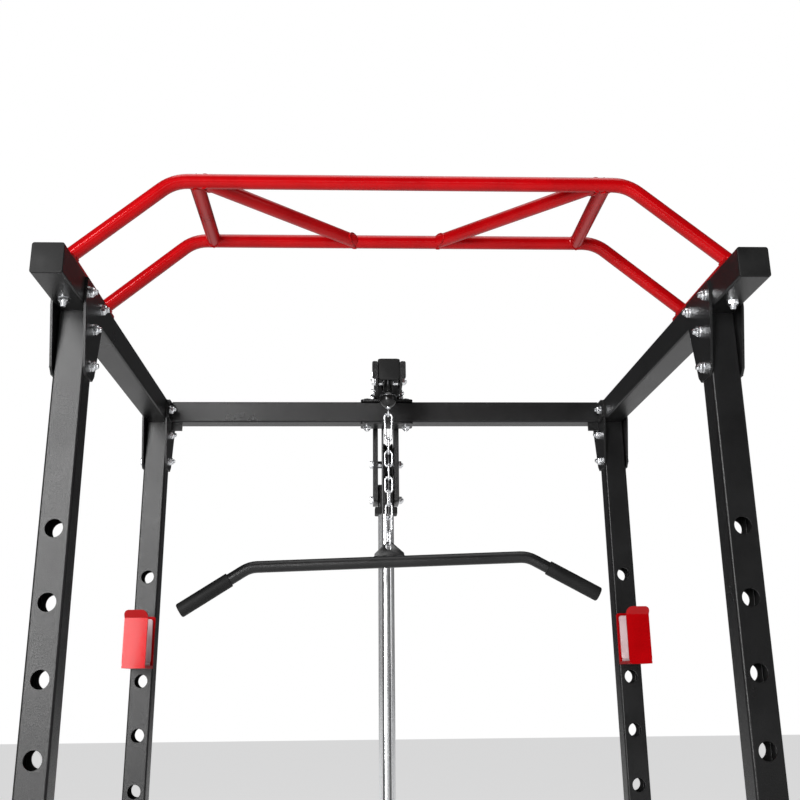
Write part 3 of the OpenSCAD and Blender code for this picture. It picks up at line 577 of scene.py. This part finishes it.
def makePullUpBar():
    p = pullUp
    y0 = railFront - 0.003 + p["frontBack"]
    z = railTop + p["rise"]
    footZ = railTop + p["footRise"]
    lean = math.atan2(z - footZ, p["footX"] - p["bendX"])
    cut = p["bend"] * math.tan(lean / 2)
    legLength = math.hypot(z - footZ, p["footX"] - p["bendX"])
    for name, y, node in (("pullUpFrontTube", y0, "pull_up_front_bar"),
                          ("pullUpRearTube", y0 + p["gap"], "pull_up_rear_bar")):
        bm = bmesh.new()
        foot = Vector((-p["footX"], y, footZ)) - Vector((math.cos(lean), 0, math.sin(lean))) * 0.03
        rising = Vector((math.cos(lean), 0, math.sin(lean)))
        down = Vector((math.sin(lean), 0, -math.cos(lean)))
        bentTube(bm, foot, rising, p["radius"], [
            ("go", legLength + 0.03 - cut), ("turn", lean, p["bend"], down),
            ("go", 2 * (p["bendX"] - cut)),
            ("turn", lean, p["bend"], (0, 0, -1)), ("go", legLength + 0.03 - cut)], sides=32)
        bmesh.ops.bisect_plane(bm, geom=bm.verts[:] + bm.edges[:] + bm.faces[:], dist=0.00001,
                               plane_co=(0, 0, footZ - 0.0006), plane_no=(0, 0, 1), clear_inner=True)
        bmesh.ops.holes_fill(bm, edges=[e for e in bm.edges if e.is_boundary], sides=0)
        for side in sides:
            ring = saddleBead(bm, (side * p["footX"], y, footZ), (0, 0, 1), (0, 1, 0),
                              p["radius"] + 0.0006, 0.0, p["bead"])
            for vert in ring:  # the leg meets the plate at a slant, so its weld is an oval
                vert.co.x = side * p["footX"] + (vert.co.x - side * p["footX"]) / math.sin(lean)
        pieceFrom(name, bm, "cage", redPaint, [node])
    bm = bmesh.new()
    for side in sides:
        x = side * p["neutralX"]
        bentTube(bm, (x, y0 + 0.006, z), (0, 1, 0), p["radius"] - 0.00005, [("go", p["gap"] - 0.012)],
                 sides=32)
        saddleBead(bm, (x, y0, z), (0, 1, 0), (1, 0, 0), p["radius"], p["radius"], p["bead"])
        saddleBead(bm, (x, y0 + p["gap"], z), (0, -1, 0), (1, 0, 0), p["radius"], p["radius"], p["bead"])
    pieceFrom("pullUpNeutralGrips", bm, "cage", redPaint, ["pull_up_neutral_grips"])
    bm = bmesh.new()
    for side in sides:
        a = Vector((side * p["slantFront"], y0, z))
        b = Vector((side * p["slantRear"], y0 + p["gap"], z))
        way = (b - a).normalized()
        bentTube(bm, a + way * 0.008, way, p["radius"] - 0.0001, [("go", (b - a).length - 0.016)],
                 sides=32)
        saddleBead(bm, a, way, (-side, 0, 0), p["radius"], p["radius"], p["bead"])
        saddleBead(bm, b, -way, (side, 0, 0), p["radius"], p["radius"], p["bead"])
    pieceFrom("pullUpSlantedGrips", bm, "cage", redPaint, ["pull_up_slanted_grips"])
    roundedCopy("pullUpEndPlates", "pull_up_end_plates", redPaint, p["plateEdge"])
    bm = bmesh.new()
    for side in sides:
        for y in (y0 + 0.025, y0 + p["gap"] - 0.025):
            fullBolt(bm, (side * postX, y, footZ), (0, 0, -1), 0.055, 0.016)
    pieceFrom("pullUpBolts", bm, "cage", zinc, ["pull_up_bolts_and_nuts"])


makePullUpBar()
print("pull-up bar done")

# beam bolts, axles and spacers

latFrame = dict(clampX=0.047, clampGrip=0.060, beamHole=0.033, beamAhead=0.036, cheekSpread=0.022,
                cheekRise=0.017, boltGrip=0.060, hangerGrip=0.062, hangerDrop=0.1705, footX=0.038,
                bracketX=0.040, tail=0.012)
frontWheel, rearWheel = middle("front_pulley"), middle("rear_pulley")
returnWheel, lowWheel = middle("return_pulley"), middle("low_pulley")
guideY = middle("guide_post").y
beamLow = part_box("lat_beam")[0].z


def makeLatBolts():
    f = latFrame
    bm = bmesh.new()
    for side in sides:
        fullBolt(bm, (side * f["clampX"], rearY, railTop + 0.005), (0, 0, -1), f["clampGrip"], f["tail"])
    pieceFrom("clampBolts", bm, "cage", zinc, ["clamp_bolts_and_nuts"])
    bm = bmesh.new()
    crossBolts = [(frontWheel.y, frontWheel.z, f["boltGrip"]),
                  (frontWheel.y + f["beamAhead"], beamLow + f["beamHole"], f["boltGrip"]),
                  (rearWheel.y, rearWheel.z, f["boltGrip"]),
                  (returnWheel.y, returnWheel.z, f["hangerGrip"]),
                  (guideY, railLow - f["hangerDrop"], f["hangerGrip"])]
    for reach in (-f["cheekSpread"], f["cheekSpread"]):
        crossBolts.append((rearWheel.y + reach, beamLow + f["cheekRise"], f["boltGrip"]))
    for y, z, grip in crossBolts:
        lathe(bm, [(0, 0.001), (0.005, 0.001), (0.005, grip - 0.001), (0, grip - 0.001)],
              facing((-grip / 2, y, z), (1, 0, 0)), 20)
        fullBolt(bm, (-grip / 2, y, z), (1, 0, 0), grip, f["tail"])
    lathe(bm, [(0, 0.001), (0.005, 0.001), (0.005, 0.035), (0, 0.035)],
          facing((lowWheel.x - 0.018, lowWheel.y, lowWheel.z), (1, 0, 0)), 20)
    fullBolt(bm, (lowWheel.x - 0.018, lowWheel.y, lowWheel.z), (1, 0, 0), 0.036, f["tail"])
    baseMid = (baseLow + baseTop) / 2
    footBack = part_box("rear_t_foot")[1].y
    for side in sides:
        fullBolt(bm, (side * f["footX"], rearY - 0.025, baseMid), (0, 1, 0), 0.054, f["tail"])
        fullBolt(bm, (side * f["footX"], footBack, baseMid), (0, -1, 0), 0.054, f["tail"])
        boltHead(bm, facing((lowWheel.x + side * f["bracketX"], rearY, baseTop + 0.005), (0, 0, -1)))
    pieceFrom("latFrameBolts", bm, "cage", zinc, ["lat_frame_bolts_and_nuts"])
    bm = bmesh.new()
    for wheel, halfWheel, halfGap in ((frontWheel, 0.0114, 0.0225), (rearWheel, 0.0104, 0.025),
                                      (returnWheel, 0.0119, 0.020)):
        for side in sides:
            start = wheel.x + side * halfWheel
            length = abs(side * halfGap - start)
            lathe(bm, [(0.0051, 0), (0.0084, 0), (0.009, 0.0006), (0.009, length - 0.0006),
                       (0.0084, length), (0.0051, length), (0.0051, 0)],
                  facing((start, wheel.y, wheel.z), (side, 0, 0)), 28)
    pieceFrom("axleSpacers", bm, "cage", zinc, ["axle_spacers"])


makeLatBolts()

# pulleys: moulded nylon wheels with a rope groove and a pressed bearing

pulley = dict(rim=0.0016, hub=0.0135, web=0.0035, bearing=0.0108)


def makePulley(name, nodeName, radius, sheave, width):
    p = pulley
    centre = middle(nodeName)
    half = width / 2
    cable = 0.0026
    low = sheave - cable
    outline = [(0.0056, -half + 0.0004), (p["hub"] - 0.001, -half), (p["hub"], -half + 0.0008),
               (p["hub"] + 0.0006, -half + p["web"]), (radius - 0.0095, -half + p["web"]),
               (radius - 0.0078, -half + 0.0008), (radius - 0.0065, -half), (radius - p["rim"], -half),
               (radius - 0.0004, -half + 0.0006), (radius, -half + 0.0018),
               (radius - 0.0005, -half + 0.0030), (low + 0.0016, -0.0030), (low + 0.0004, -0.0016),
               (low, 0)]
    outline += [(r, -z) for r, z in reversed(outline[:-1])]
    bm = bmesh.new()
    lathe(bm, outline + [outline[0]], facing(centre, (1, 0, 0)), 64)
    for k in range(6):  # ribs between hub and rim
        for side in sides:
            made = bmesh.ops.create_cube(
                bm, size=1,
                matrix=facing(centre, (1, 0, 0)) @ Matrix.Rotation(k * math.tau / 6, 4, "Z")
                @ Matrix.Translation(((p["hub"] + radius - 0.009) / 2, 0, side * (half - 0.0026)))
                @ Matrix.Diagonal((radius - 0.008 - p["hub"], 0.0022, 0.0026, 1)))["verts"]
            edges = list({e for v in made for e in v.link_edges})
            softenEdges(bm, edges, 0.0004, 2)
    body = bodyOf(nodeName)
    pieceFrom(name, bm, body, nylon, [nodeName])
    bm = bmesh.new()
    for side in sides:
        face = facing(centre + Vector((side * (half - 0.0009), 0, 0)), (side, 0, 0))
        lathe(bm, [(0.0058, 0), (0.0060, 0.0007), (0.0074, 0.0009), (0.0078, 0.0005), (0.0094, 0.0005),
                   (0.0098, 0.0010), (p["bearing"], 0.0010), (p["bearing"] + 0.0002, 0)], face, 32)
    pieceFrom(name + "Bearing", bm, body, zinc)


makePulley("frontPulleyWheel", "front_pulley", 0.038, 0.0335, 0.022)
makePulley("rearPulleyWheel", "rear_pulley", 0.038, 0.0335, 0.020)
makePulley("returnPulleyWheel", "return_pulley", 0.052, 0.0475, 0.023)
makePulley("lowPulleyWheel", "low_pulley", 0.046, 0.042, 0.020)
print("pulleys done")

# cables

cable = dict(radius=0.0025, topSheave=0.0335, returnSheave=0.0475, lowSheave=0.042, sides=14,
             leadPieces=60)
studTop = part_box("cable_studs")[1].z
ballLow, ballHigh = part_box("ball_stop")
hangX, hangY = (ballLow.x + ballHigh.x) / 2, (ballLow.y + ballHigh.y) / 2
ballCentre = ballHigh.z - 0.0195


def straightCable(name, at, length, slotNode):
    bm = bmesh.new()
    bentTube(bm, at, (0, 0, 1), cable["radius"],
             [("go", length / cable["leadPieces"])] * cable["leadPieces"],
                              sides=cable["sides"])
    piece = smoothPiece(name, bm, cableCoat)
    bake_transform(piece)
    if slotNode:
        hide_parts(slotNode)


def makeCables():
    c = cable
    s = c["topSheave"]
    lean = math.atan2(rearWheel.z - frontWheel.z, rearWheel.y - frontWheel.y)
    topRun = math.hypot(rearWheel.z - frontWheel.z, rearWheel.y - frontWheel.y)
    shift = rearWheel.x - frontWheel.x
    bm = bmesh.new()
    frontStart = Vector((frontWheel.x, frontWheel.y - s, frontWheel.z))
    made = bentTube(bm, frontStart, (0, 0, 1), c["radius"], [
        ("turn", math.pi / 2 - lean, s, (0, 1, 0)), ("go", topRun),
        ("turn", math.pi / 2 + lean, s, (0, math.sin(lean), -math.cos(lean)))], sides=c["sides"])
    for vert in made:  # the two wheels aren't in one plane, so the run crosses over
        part = (vert.co.y - frontWheel.y) / (rearWheel.y - frontWheel.y)
        vert.co.x += shift * min(1, max(0, part))
    pieceFrom("latCableTop", bm, "cage", cableCoat, ["cables"])
    straightCable("latCableLead", (frontWheel.x, frontWheel.y - s, ballCentre + 0.012),
                  frontWheel.z - ballCentre - 0.012,
                  None)
    straightCable("latCableDrop", (rearWheel.x, rearWheel.y + s, studTop - 0.002),
                  rearWheel.z - studTop + 0.002,
                  "lat_cable_drop")
    r = c["returnSheave"]
    straightCable("lowCableRise", (returnWheel.x, returnWheel.y + r, studTop - 0.002),
                  returnWheel.z - studTop + 0.002,
                  "low_cable_rise")
    bm = bmesh.new()
    bentTube(bm, (returnWheel.x, returnWheel.y + r, returnWheel.z), (0, 0, 1), c["radius"], [
        ("turn", math.pi, r, (0, -1, 0)), ("go", returnWheel.z - lowWheel.z),
        ("turn", math.pi / 2, c["lowSheave"], (0, -1, 0)),
        ("go", 0.085)], sides=c["sides"])
    pieceFrom("lowCable", bm, "cage", cableCoat)


makeCables()
print("cables done")

# hanging ball stop, carabiner and chain

hanging = dict(ball=0.0195, band=0.0008, ring=0.0075, ringWire=0.0022, clipWire=0.003, clipTop=0.0085,
               clipEnd=0.006, linkWire=0.0025, linkHalf=0.008, linkOverlap=0.0051, links=8,
               turns=(90, 0, 90, 0, 73, 145, 35, 105))


def makeBallStop():
    h = hanging
    ringZ = railLow - 0.020
    bm = bmesh.new()
    outline = []
    for k in range(25):
        a = -math.pi / 2 + k * math.pi / 24
        outline.append((max(h["ball"] * math.cos(a), 0.0029), h["ball"] * math.sin(a)))
    outline[0] = (0.0029, outline[0][1])
    lathe(bm, outline, Matrix.Translation((hangX, hangY, ballCentre)), 48)
    lathe(bm, [(0.0026, 0.019), (0.0070, 0.0185), (0.0066, 0.023), (0.0050, 0.030), (0.0036, 0.034),
               (0.0026, 0.034)],
          Matrix.Translation((hangX, hangY, ballCentre)), 32)
    pieceFrom("ballStop", bm, "pulldown", nylon, ["ball_stop"])
    bm = bmesh.new()
    level = 0.0075
    around = math.sqrt(h["ball"] ** 2 - level ** 2)
    lathe(bm, [(around - 0.0002, level - 0.0009), (around + h["band"], level - 0.0007),
               (around + h["band"] - 0.0002, level + 0.0007),
               (around - 0.0006, level + 0.0010)], Matrix.Translation((hangX, hangY, ballCentre)), 48)
    lathe(bm, [(0, -0.0245), (0.0029, -0.0245), (0.0029, -0.0215), (0.0054, -0.0215), (0.0060, -0.0205),
               (0.0060, -0.0175), (0, -0.0175)],
          Matrix.Translation((hangX, hangY, ballCentre)), 24)
    bentTube(bm, (hangX, hangY, ballCentre - 0.0195), (0, 0, -1), 0.0029,
             [("go", ballCentre - 0.0195 - ringZ - 0.0075)], sides=16)
    bentTube(bm, (hangX, hangY + h["ring"], ringZ), (0, 0, 1), h["ringWire"],
             [("turn", math.pi, h["ring"], (0, -1, 0)), ("turn", math.pi, h["ring"], (0, 1, 0))],
             sides=14, closed=True)
    pieceFrom("ballStopEye", bm, "pulldown", zinc)


def makeCarabiner():
    h = hanging
    low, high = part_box("carabiner")
    topC = high.z - h["clipWire"] - h["clipTop"]
    endC = low.z + h["clipWire"] + h["clipEnd"]
    tall = topC - endC
    lean = math.asin((h["clipTop"] - h["clipEnd"]) / tall)
    start = Vector((hangX + h["clipEnd"] * math.cos(lean), hangY, endC - h["clipEnd"] * math.sin(lean)))
    bm = bmesh.new()
    bentTube(bm, start, (math.sin(lean), 0, math.cos(lean)), h["clipWire"] - 0.0001, [
        ("go", tall * math.cos(lean)),
        ("turn", math.pi + 2 * lean, h["clipTop"], (-math.cos(lean), 0, math.sin(lean))),
        ("go", tall * math.cos(lean)),
        ("turn", math.pi - 2 * lean, h["clipEnd"], (math.cos(lean), 0, math.sin(lean)))],
        sides=18, closed=True)
    gateLow = Vector((hangX - h["clipEnd"] * math.cos(lean), hangY, endC - h["clipEnd"] * math.sin(lean)))
    up = Vector((-math.sin(lean), 0, math.cos(lean)))
    for part, half in ((0.12, 0.0036), (0.86, 0.0034)):  # hinge rivet and the nose of the gate
        lathe(bm, [(0, -half), (0.0016, -half), (0.0020, -half + 0.0004), (0.0020, half - 0.0004),
                   (0.0016, half), (0, half)],
              facing(gateLow + up * tall * part, (0, 1, 0)), 18)
    pieceFrom("carabinerLoop", bm, "pulldown", zinc, ["carabiner"])


def makeChain():
    h = hanging
    low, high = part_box("hanging_chain")
    tall = high.z - low.z - 2 * h["linkWire"]
    linkTall = (tall + (h["links"] - 1) * h["linkOverlap"]) / h["links"]
    bm = bmesh.new()
    for k in range(h["links"]):
        z = high.z - h["linkWire"] - linkTall / 2 - k * (linkTall - h["linkOverlap"])
        turn = math.radians(h["turns"][k])
        out = Vector((math.cos(turn), math.sin(turn), 0))
        start = Vector((hangX, hangY, z + h["linkHalf"] - linkTall / 2)) + out * h["linkHalf"]
        bentTube(bm, start, (0, 0, 1), h["linkWire"], [
            ("go", linkTall - 2 * h["linkHalf"]), ("turn", math.pi, h["linkHalf"], -out),
            ("go", linkTall - 2 * h["linkHalf"]), ("turn", math.pi, h["linkHalf"], out)], sides=14,
            closed=True)
        seam = start + Vector((0, 0, linkTall / 2 - h["linkHalf"]))
        lathe(bm, [(h["linkWire"] - 0.0002, -0.0022), (h["linkWire"] + 0.0004, -0.0008),
                   (h["linkWire"] + 0.0004, 0.0008),
                   (h["linkWire"] - 0.0002, 0.0022)], Matrix.Translation(seam), 14)
    pieceFrom("chainLinks", bm, "pulldown", zinc, ["hanging_chain"])


makeBallStop()
makeCarabiner()
makeChain()
print("hanging parts done")

# hanging bar: one bent tube, a welded tab and two rubber grips

latBar = dict(radius=0.0125, bendX=0.299, end=0.166, drop=30, bend=0.060, tilt=1.8, below=0.0328,
              tabThick=0.006, tabHole=0.0075, chainAbove=0.0013, gripStart=0.049, gripRadius=0.0155,
              gripCap=0.004, bead=0.0016)
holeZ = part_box("hanging_chain")[0].z + latBar["chainAbove"]


def makeLatBar():
    b = latBar
    place = (Matrix.Translation((hangX, hangY, holeZ)) @ Matrix.Rotation(math.radians(-b["tilt"]), 4, "Y")
             @ Matrix.Translation((0, 0, -b["below"])))
    drop = math.radians(b["drop"])
    cut = b["bend"] * math.tan(drop / 2)
    leg = b["end"] - cut
    rising = Vector((math.cos(drop), 0, math.sin(drop)))
    start = Vector((-b["bendX"], 0, 0)) - rising * b["end"]
    bm = bmesh.new()
    bentTube(bm, start, rising, b["radius"], [
        ("go", leg), ("turn", drop, b["bend"], (math.sin(drop), 0, -math.cos(drop))),
        ("go", 2 * (b["bendX"] - cut)),
        ("turn", drop, b["bend"], (0, 0, -1)), ("go", leg)], sides=32)
    tab = [bm.verts.new((x, -b["tabThick"] / 2, z)) for x, z in
           ((-0.032, 0.008), (-0.032, 0.018), (-0.0055, 0.0421), (-0.0030, 0.0435), (0.0030, 0.0435),
            (0.0055, 0.0421),
            (0.032, 0.018), (0.032, 0.008))]
    outer = [bm.edges.new(pair) for pair in zip(tab, tab[1:] + tab[:1])]
    hole = bmesh.ops.create_circle(bm, cap_ends=False, segments=28, radius=b["tabHole"],
                                   matrix=Matrix.Translation((0, -b["tabThick"] / 2, b["below"]))
                                   @ Matrix.Rotation(math.pi / 2, 4, "X"))["verts"]
    inner = list({e for v in hole for e in v.link_edges})
    faces = [g for g in bmesh.ops.triangle_fill(bm, use_beauty=True, use_dissolve=False,
                                                edges=outer + inner)["geom"]
             if isinstance(g, bmesh.types.BMFace)]
    grown = bmesh.ops.extrude_face_region(bm, geom=faces)["geom"]
    bmesh.ops.translate(bm, verts=[g for g in grown if isinstance(g, bmesh.types.BMVert)],
                        vec=(0, b["tabThick"], 0))
    made = reachable(tab)
    bmesh.ops.recalc_face_normals(bm, faces=list({f for v in made for f in v.link_faces}))
    sharp = [e for e in {e for v in made for e in v.link_edges}
             if e.is_manifold and e.calc_face_angle() > 0.7]
    softenEdges(bm, sharp, 0.0007, 2)
    for side in sides:  # weld along both feet of the tab
        y = side * b["tabThick"] / 2
        z = math.sqrt(b["radius"] ** 2 - y ** 2)
        beadMade = bentTube(bm, (-0.033, y + side * 0.0004, z - 0.0002), (1, 0, 0), b["bead"],
                            [("go", 0.0011)] * 60, sides=10)
        for vert in beadMade:
            swell = 1 + 0.16 * math.sin(vert.co.x * 3000)
            vert.co.y = y + (vert.co.y - y) * swell
            vert.co.z = z + (vert.co.z - z) * swell
    bmesh.ops.transform(bm, matrix=place, verts=bm.verts)
    pieceFrom("hangingBar", bm, "hanging_bar", blackPaint, ["lat_bar"])
    bm = bmesh.new()
    length = b["end"] - b["gripStart"]
    g = b["gripRadius"]
    for side in sides:
        legAlong = Vector((side * math.cos(drop), 0, -math.sin(drop)))
        at = Vector((side * b["bendX"], 0, 0)) + legAlong * b["gripStart"]
        cap = length + b["gripCap"]
        outline = [(b["radius"] + 0.00005, 0.0004), (b["radius"] + 0.0006, 0), (g - 0.0008, 0),
                   (g, 0.0008), (g, cap - 0.0030), (g - 0.0008, cap - 0.0011), (g - 0.0026, cap),
                   (0.004, cap), (0.0030, cap - 0.0012), (0, cap - 0.0012)]
        lathe(bm, outline, facing(at, legAlong), 40)
    bmesh.ops.transform(bm, matrix=place, verts=bm.verts)
    pieceFrom("hangingBarGrips", bm, "hanging_bar", rubber, ["lat_bar_grips"])


makeLatBar()
print("hanging bar done")

# guide, its blocks and the weight carriage

guide = dict(radius=0.019, wall=0.0025, bumperRadius=0.032, hornRadius=0.024, hornWall=0.003,
             flange=0.050, flangeAt=0.010, flangeThick=0.006, studNut=0.015)


def makeGuide():
    g = guide
    low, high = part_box("guide_post")
    bm = bmesh.new()
    r, w, tall = g["radius"], g["radius"] - g["wall"], high.z - low.z
    lathe(bm, [(w, 0), (r - 0.0006, 0), (r, 0.0006), (r, tall - 0.0006), (r - 0.0006, tall), (w, tall),
               (w, 0)],
          Matrix.Translation((0, guideY, low.z)), 64)
    pieceFrom("guideTube", bm, "cage", chrome, ["guide_post"])
    roundedCopy("guideBlockShell", "guide_block", blackPaint, 0.0015)
    roundedCopy("guideCollarRing", "guide_collar", rubber, 0.0014, 3)
    low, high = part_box("rubber_bumper")
    tall = high.z - low.z
    b = g["bumperRadius"]
    bm = bmesh.new()
    lathe(bm, [(r + 0.0003, 0), (b - 0.002, 0), (b - 0.0005, 0.0006), (b, 0.002), (b, 0.010),
               (b - 0.003, 0.0125), (b - 0.003, 0.015), (b, 0.0175), (b, tall - 0.006),
               (b - 0.0018, tall - 0.0018), (b - 0.006, tall), (r + 0.0012, tall),
               (r + 0.0003, tall - 0.001), (r + 0.0003, 0)], Matrix.Translation((0, guideY, low.z)), 56)
    pieceFrom("bumperRing", bm, "cage", rubber, ["rubber_bumper"])


def makeCarriage():
    g = guide
    roundedCopy("carriageSleeveSteel", "carriage_sleeve", blackPaint, 0.0008)
    roundedCopy("carriageBushingInserts", "carriage_bushings", paleNylon, 0.0006)
    low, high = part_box("plate_horns")
    z = (low.z + high.z) / 2
    length = high.x - 0.030
    r = g["hornRadius"]
    w = r - g["hornWall"]
    bm = bmesh.new()
    capBm = bmesh.new()
    for side in sides:
        place = facing((side * 0.030, guideY, z), (side, 0, 0))
        lathe(bm, [(r, 0), (r, length - 0.0008), (r - 0.0008, length), (w, length), (w, 0.006),
                   (0, 0.006)], place, 56)
        a, t, f = g["flangeAt"], g["flangeThick"], g["flange"]
        lathe(bm, [(r + 0.00005, a), (f - 0.001, a), (f, a + 0.001), (f, a + t - 0.0012),
                   (f - 0.0012, a + t), (r + 0.003, a + t), (r + 0.0010, a + t + 0.0010),
                   (r + 0.00005, a + t + 0.0028)], place, 64)
        lathe(capBm, [(0, length - 0.010), (w - 0.0002, length - 0.010), (w - 0.0002, length - 0.0002),
                      (r - 0.0002, length + 0.0001), (r, length + 0.0012), (r - 0.0006, length + 0.0030),
                      (r - 0.0022, length + 0.0039), (r - 0.006, length + 0.0035),
                      (0, length + 0.0032)], place, 48)
    pieceFrom("plateHorns", bm, "carriage", chrome, ["plate_horns"])
    pieceFrom("hornCaps", capBm, "carriage", rubber, ["horn_end_caps"])
    bm = bmesh.new()
    low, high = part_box("cable_studs")
    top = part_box("carriage_sleeve")[1].z
    for x, y in ((rearWheel.x, rearWheel.y + 0.0335), (returnWheel.x, returnWheel.y + 0.0475)):
        lathe(bm, [(0, low.z), (0.0042, low.z), (0.0042, high.z - 0.010), (0.0050, high.z - 0.009),
                   (0.0050, high.z - 0.001), (0.0040, high.z),
                   (0.0026, high.z)], Matrix.Translation((x, y, 0)), 24)
        thread(bm, Matrix.Translation((x, y, low.z + 0.001)), 0.005, high.z - low.z - 0.012)
        hexPrism(bm, Matrix.Translation((x, y, top)), g["studNut"], 0.0075, bothEnds=True)
        hexPrism(bm, Matrix.Translation((x, y, low.z + 0.0058)), g["studNut"], 0.0075, bothEnds=True)
    pieceFrom("cableStuds", bm, "carriage", zinc, ["cable_studs"])
    low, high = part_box("low_ball_stop")
    centre = (low + high) / 2
    radius = (high.x - low.x) / 2
    bm = bmesh.new()
    outline = [(0.0029, -math.sqrt(radius ** 2 - 0.0029 ** 2))]
    for k in range(1, 24):
        a = -math.pi / 2 + k * math.pi / 24
        outline.append((radius * math.cos(a), radius * math.sin(a)))
    outline.append((0.0029, math.sqrt(radius ** 2 - 0.0029 ** 2)))
    lathe(bm, outline, facing(centre, (0, 1, 0)), 40)
    pieceFrom("lowBallStop", bm, "cage", nylon, ["low_ball_stop"])


makeGuide()
makeCarriage()
print("carriage done")

# hooks and safety bars

hookParts = dict(edge=0.0012, linerEdge=0.0010)
safetyBar = dict(radius=0.0125, collar=0.022, grip=0.017)


def makeHooks():
    for side, word in ((-1, "left"), (1, "right")):
        hook = roundedCopy(word + "HookSteel", word + "_j_hook", redPaint,
                           hookParts["edge"], 3)
        hook.data.materials.append(zinc)
        plateFace = rearY - 0.025
        for face in hook.data.polygons:
            if face.center.y > plateFace + 0.0003:
                face.material_index = 1
        roundedCopy(word + "HookLiner", word + "_j_hook_liner", paleNylon,
                    hookParts["linerEdge"], 3)


def makeSafetyBars():
    s = safetyBar
    for side, word in ((-1, "left"), (1, "right")):
        low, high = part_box(word + "_safety_bar")
        centre = (low + high) / 2
        front = low.y + 0.010
        length = high.y - front
        place = facing((centre.x, front, centre.z), (0, 1, 0))
        bm = bmesh.new()
        r = s["radius"]
        lathe(bm, [(0, 0), (r, 0), (r, length - 0.0015), (r - 0.0015, length), (0, length)], place, 40)
        collarAt = frontY - 0.025 - 0.0062 - front
        c = s["collar"]
        lathe(bm, [(r + 0.00005, collarAt), (c - 0.001, collarAt), (c, collarAt + 0.001),
                   (c, collarAt + 0.005), (c - 0.001, collarAt + 0.006),
                   (r + 0.00005, collarAt + 0.006)], place, 48)
        pieceFrom(word + "SafetyTube", bm, word + "_safety", chrome, [word + "_safety_bar"])
        bm = bmesh.new()
        g = s["grip"]
        outline = [(0, -0.010), (g - 0.004, -0.010), (g - 0.0012, -0.0085), (g, -0.006)]
        for k in range(6):
            z = -0.002 + k * 0.0062
            outline += [(g, z), (g - 0.0009, z + 0.0012), (g - 0.0009, z + 0.0024), (g, z + 0.0036)]
        outline += [(g, 0.0385), (g - 0.001, 0.040), (r + 0.00005, 0.040), (r + 0.00005, 0.030)]
        lathe(bm, outline, place, 40)
        pieceFrom(word + "SafetyGrip", bm, word + "_safety", rubber)


makeHooks()
makeSafetyBars()
print("hooks and safety bars done")

# floor, light and camera

studio = dict(floorColor=(0.86, 0.86, 0.86), floorGlow=0.62, roomColor=(0.07, 0.07, 0.072))


def makeStudio():
    bm = bmesh.new()
    bmesh.ops.create_grid(bm, x_segments=1, y_segments=1, size=30)
    mesh = bpy.data.meshes.new("studioFloor")
    bm.to_mesh(mesh)
    bm.free()
    mat, nodes, links, shader = newMaterial("paleFloor", specular=0.2)
    links.new(twoTone(nodes, links, noiseAt(nodes, links, 0.8, 3), (0.84, 0.84, 0.84),
                      studio["floorColor"]), shader.inputs["Base Color"])
    shader.inputs["Roughness"].default_value = 0.7
    shader.inputs["Emission Color"].default_value = (1, 1, 1, 1)
    shader.inputs["Emission Strength"].default_value = studio["floorGlow"]
    mesh.materials.append(mat)
    floor = bpy.data.objects.new("studioFloor", mesh)
    bpy.context.scene.collection.objects.link(floor)
    world = bpy.data.worlds.new("studioRoom")
    bpy.context.scene.world = world
    world.use_nodes = True
    nodes, links = world.node_tree.nodes, world.node_tree.links
    room = nodes["Background"]
    room.inputs["Color"].default_value = (*studio["roomColor"], 1)
    white = nodes.new("ShaderNodeBackground")
    white.inputs["Color"].default_value = (1, 1, 1, 1)
    white.inputs["Strength"].default_value = 1.0
    mix = nodes.new("ShaderNodeMixShader")
    path = nodes.new("ShaderNodeLightPath")
    links.new(path.outputs["Is Camera Ray"], mix.inputs["Fac"])
    links.new(room.outputs["Background"], mix.inputs[1])
    links.new(white.outputs["Background"], mix.inputs[2])
    links.new(mix.outputs["Shader"], nodes["World Output"].inputs["Surface"])
    bpy.context.scene.view_settings.view_transform = "Standard"


def softLight(name, at, aim, size, power):
    data = bpy.data.lights.new(name, "AREA")
    data.shape = "RECTANGLE"
    data.size, data.size_y = size
    data.energy = power
    lamp = bpy.data.objects.new(name, data)
    lamp.location = at
    lamp.rotation_euler = (Vector(aim) - Vector(at)).to_track_quat("-Z", "Y").to_euler()
    bpy.context.scene.collection.objects.link(lamp)


makeStudio()
softLight("leftSoftbox", (-1.95, -4.2, 2.5), (-0.5, 0, 1.8), (1.2, 3.0), 330)
softLight("rightSoftbox", (3.8, -1.6, 2.6), (0, 0, 1.2), (1.0, 2.2), 14)
softLight("topSoftbox", (0, -0.4, 4.6), (0, 0, 0), (2.4, 2.4), 50)
softLight("frontFill", (-0.3, -4.6, 2.0), (0, 0, 1.9), (2.2, 0.8), 16)

lens = dict(at=(-0.0771, -2.2636, 1.4540), forward=(0.04119, 0.94566, 0.32254),
            up=(-0.00408, -0.32265, 0.94651), millimetres=48.98, shiftY=-0.10875)


def makeCamera():
    data = bpy.data.cameras.new("camera")
    data.sensor_width = 36
    data.lens = lens["millimetres"]
    data.shift_y = lens["shiftY"]
    data.clip_end = 100
    camera = bpy.data.objects.new("camera", data)
    forward, up = Vector(lens["forward"]).normalized(), Vector(lens["up"])
    right = forward.cross(up).normalized()
    up = right.cross(forward)
    turn = Matrix((right, up, -forward)).transposed()
    camera.matrix_world = Matrix.Translation(lens["at"]) @ turn.to_4x4()
    bpy.context.scene.collection.objects.link(camera)
    bpy.context.scene.camera = camera


makeCamera()
print("studio ready")
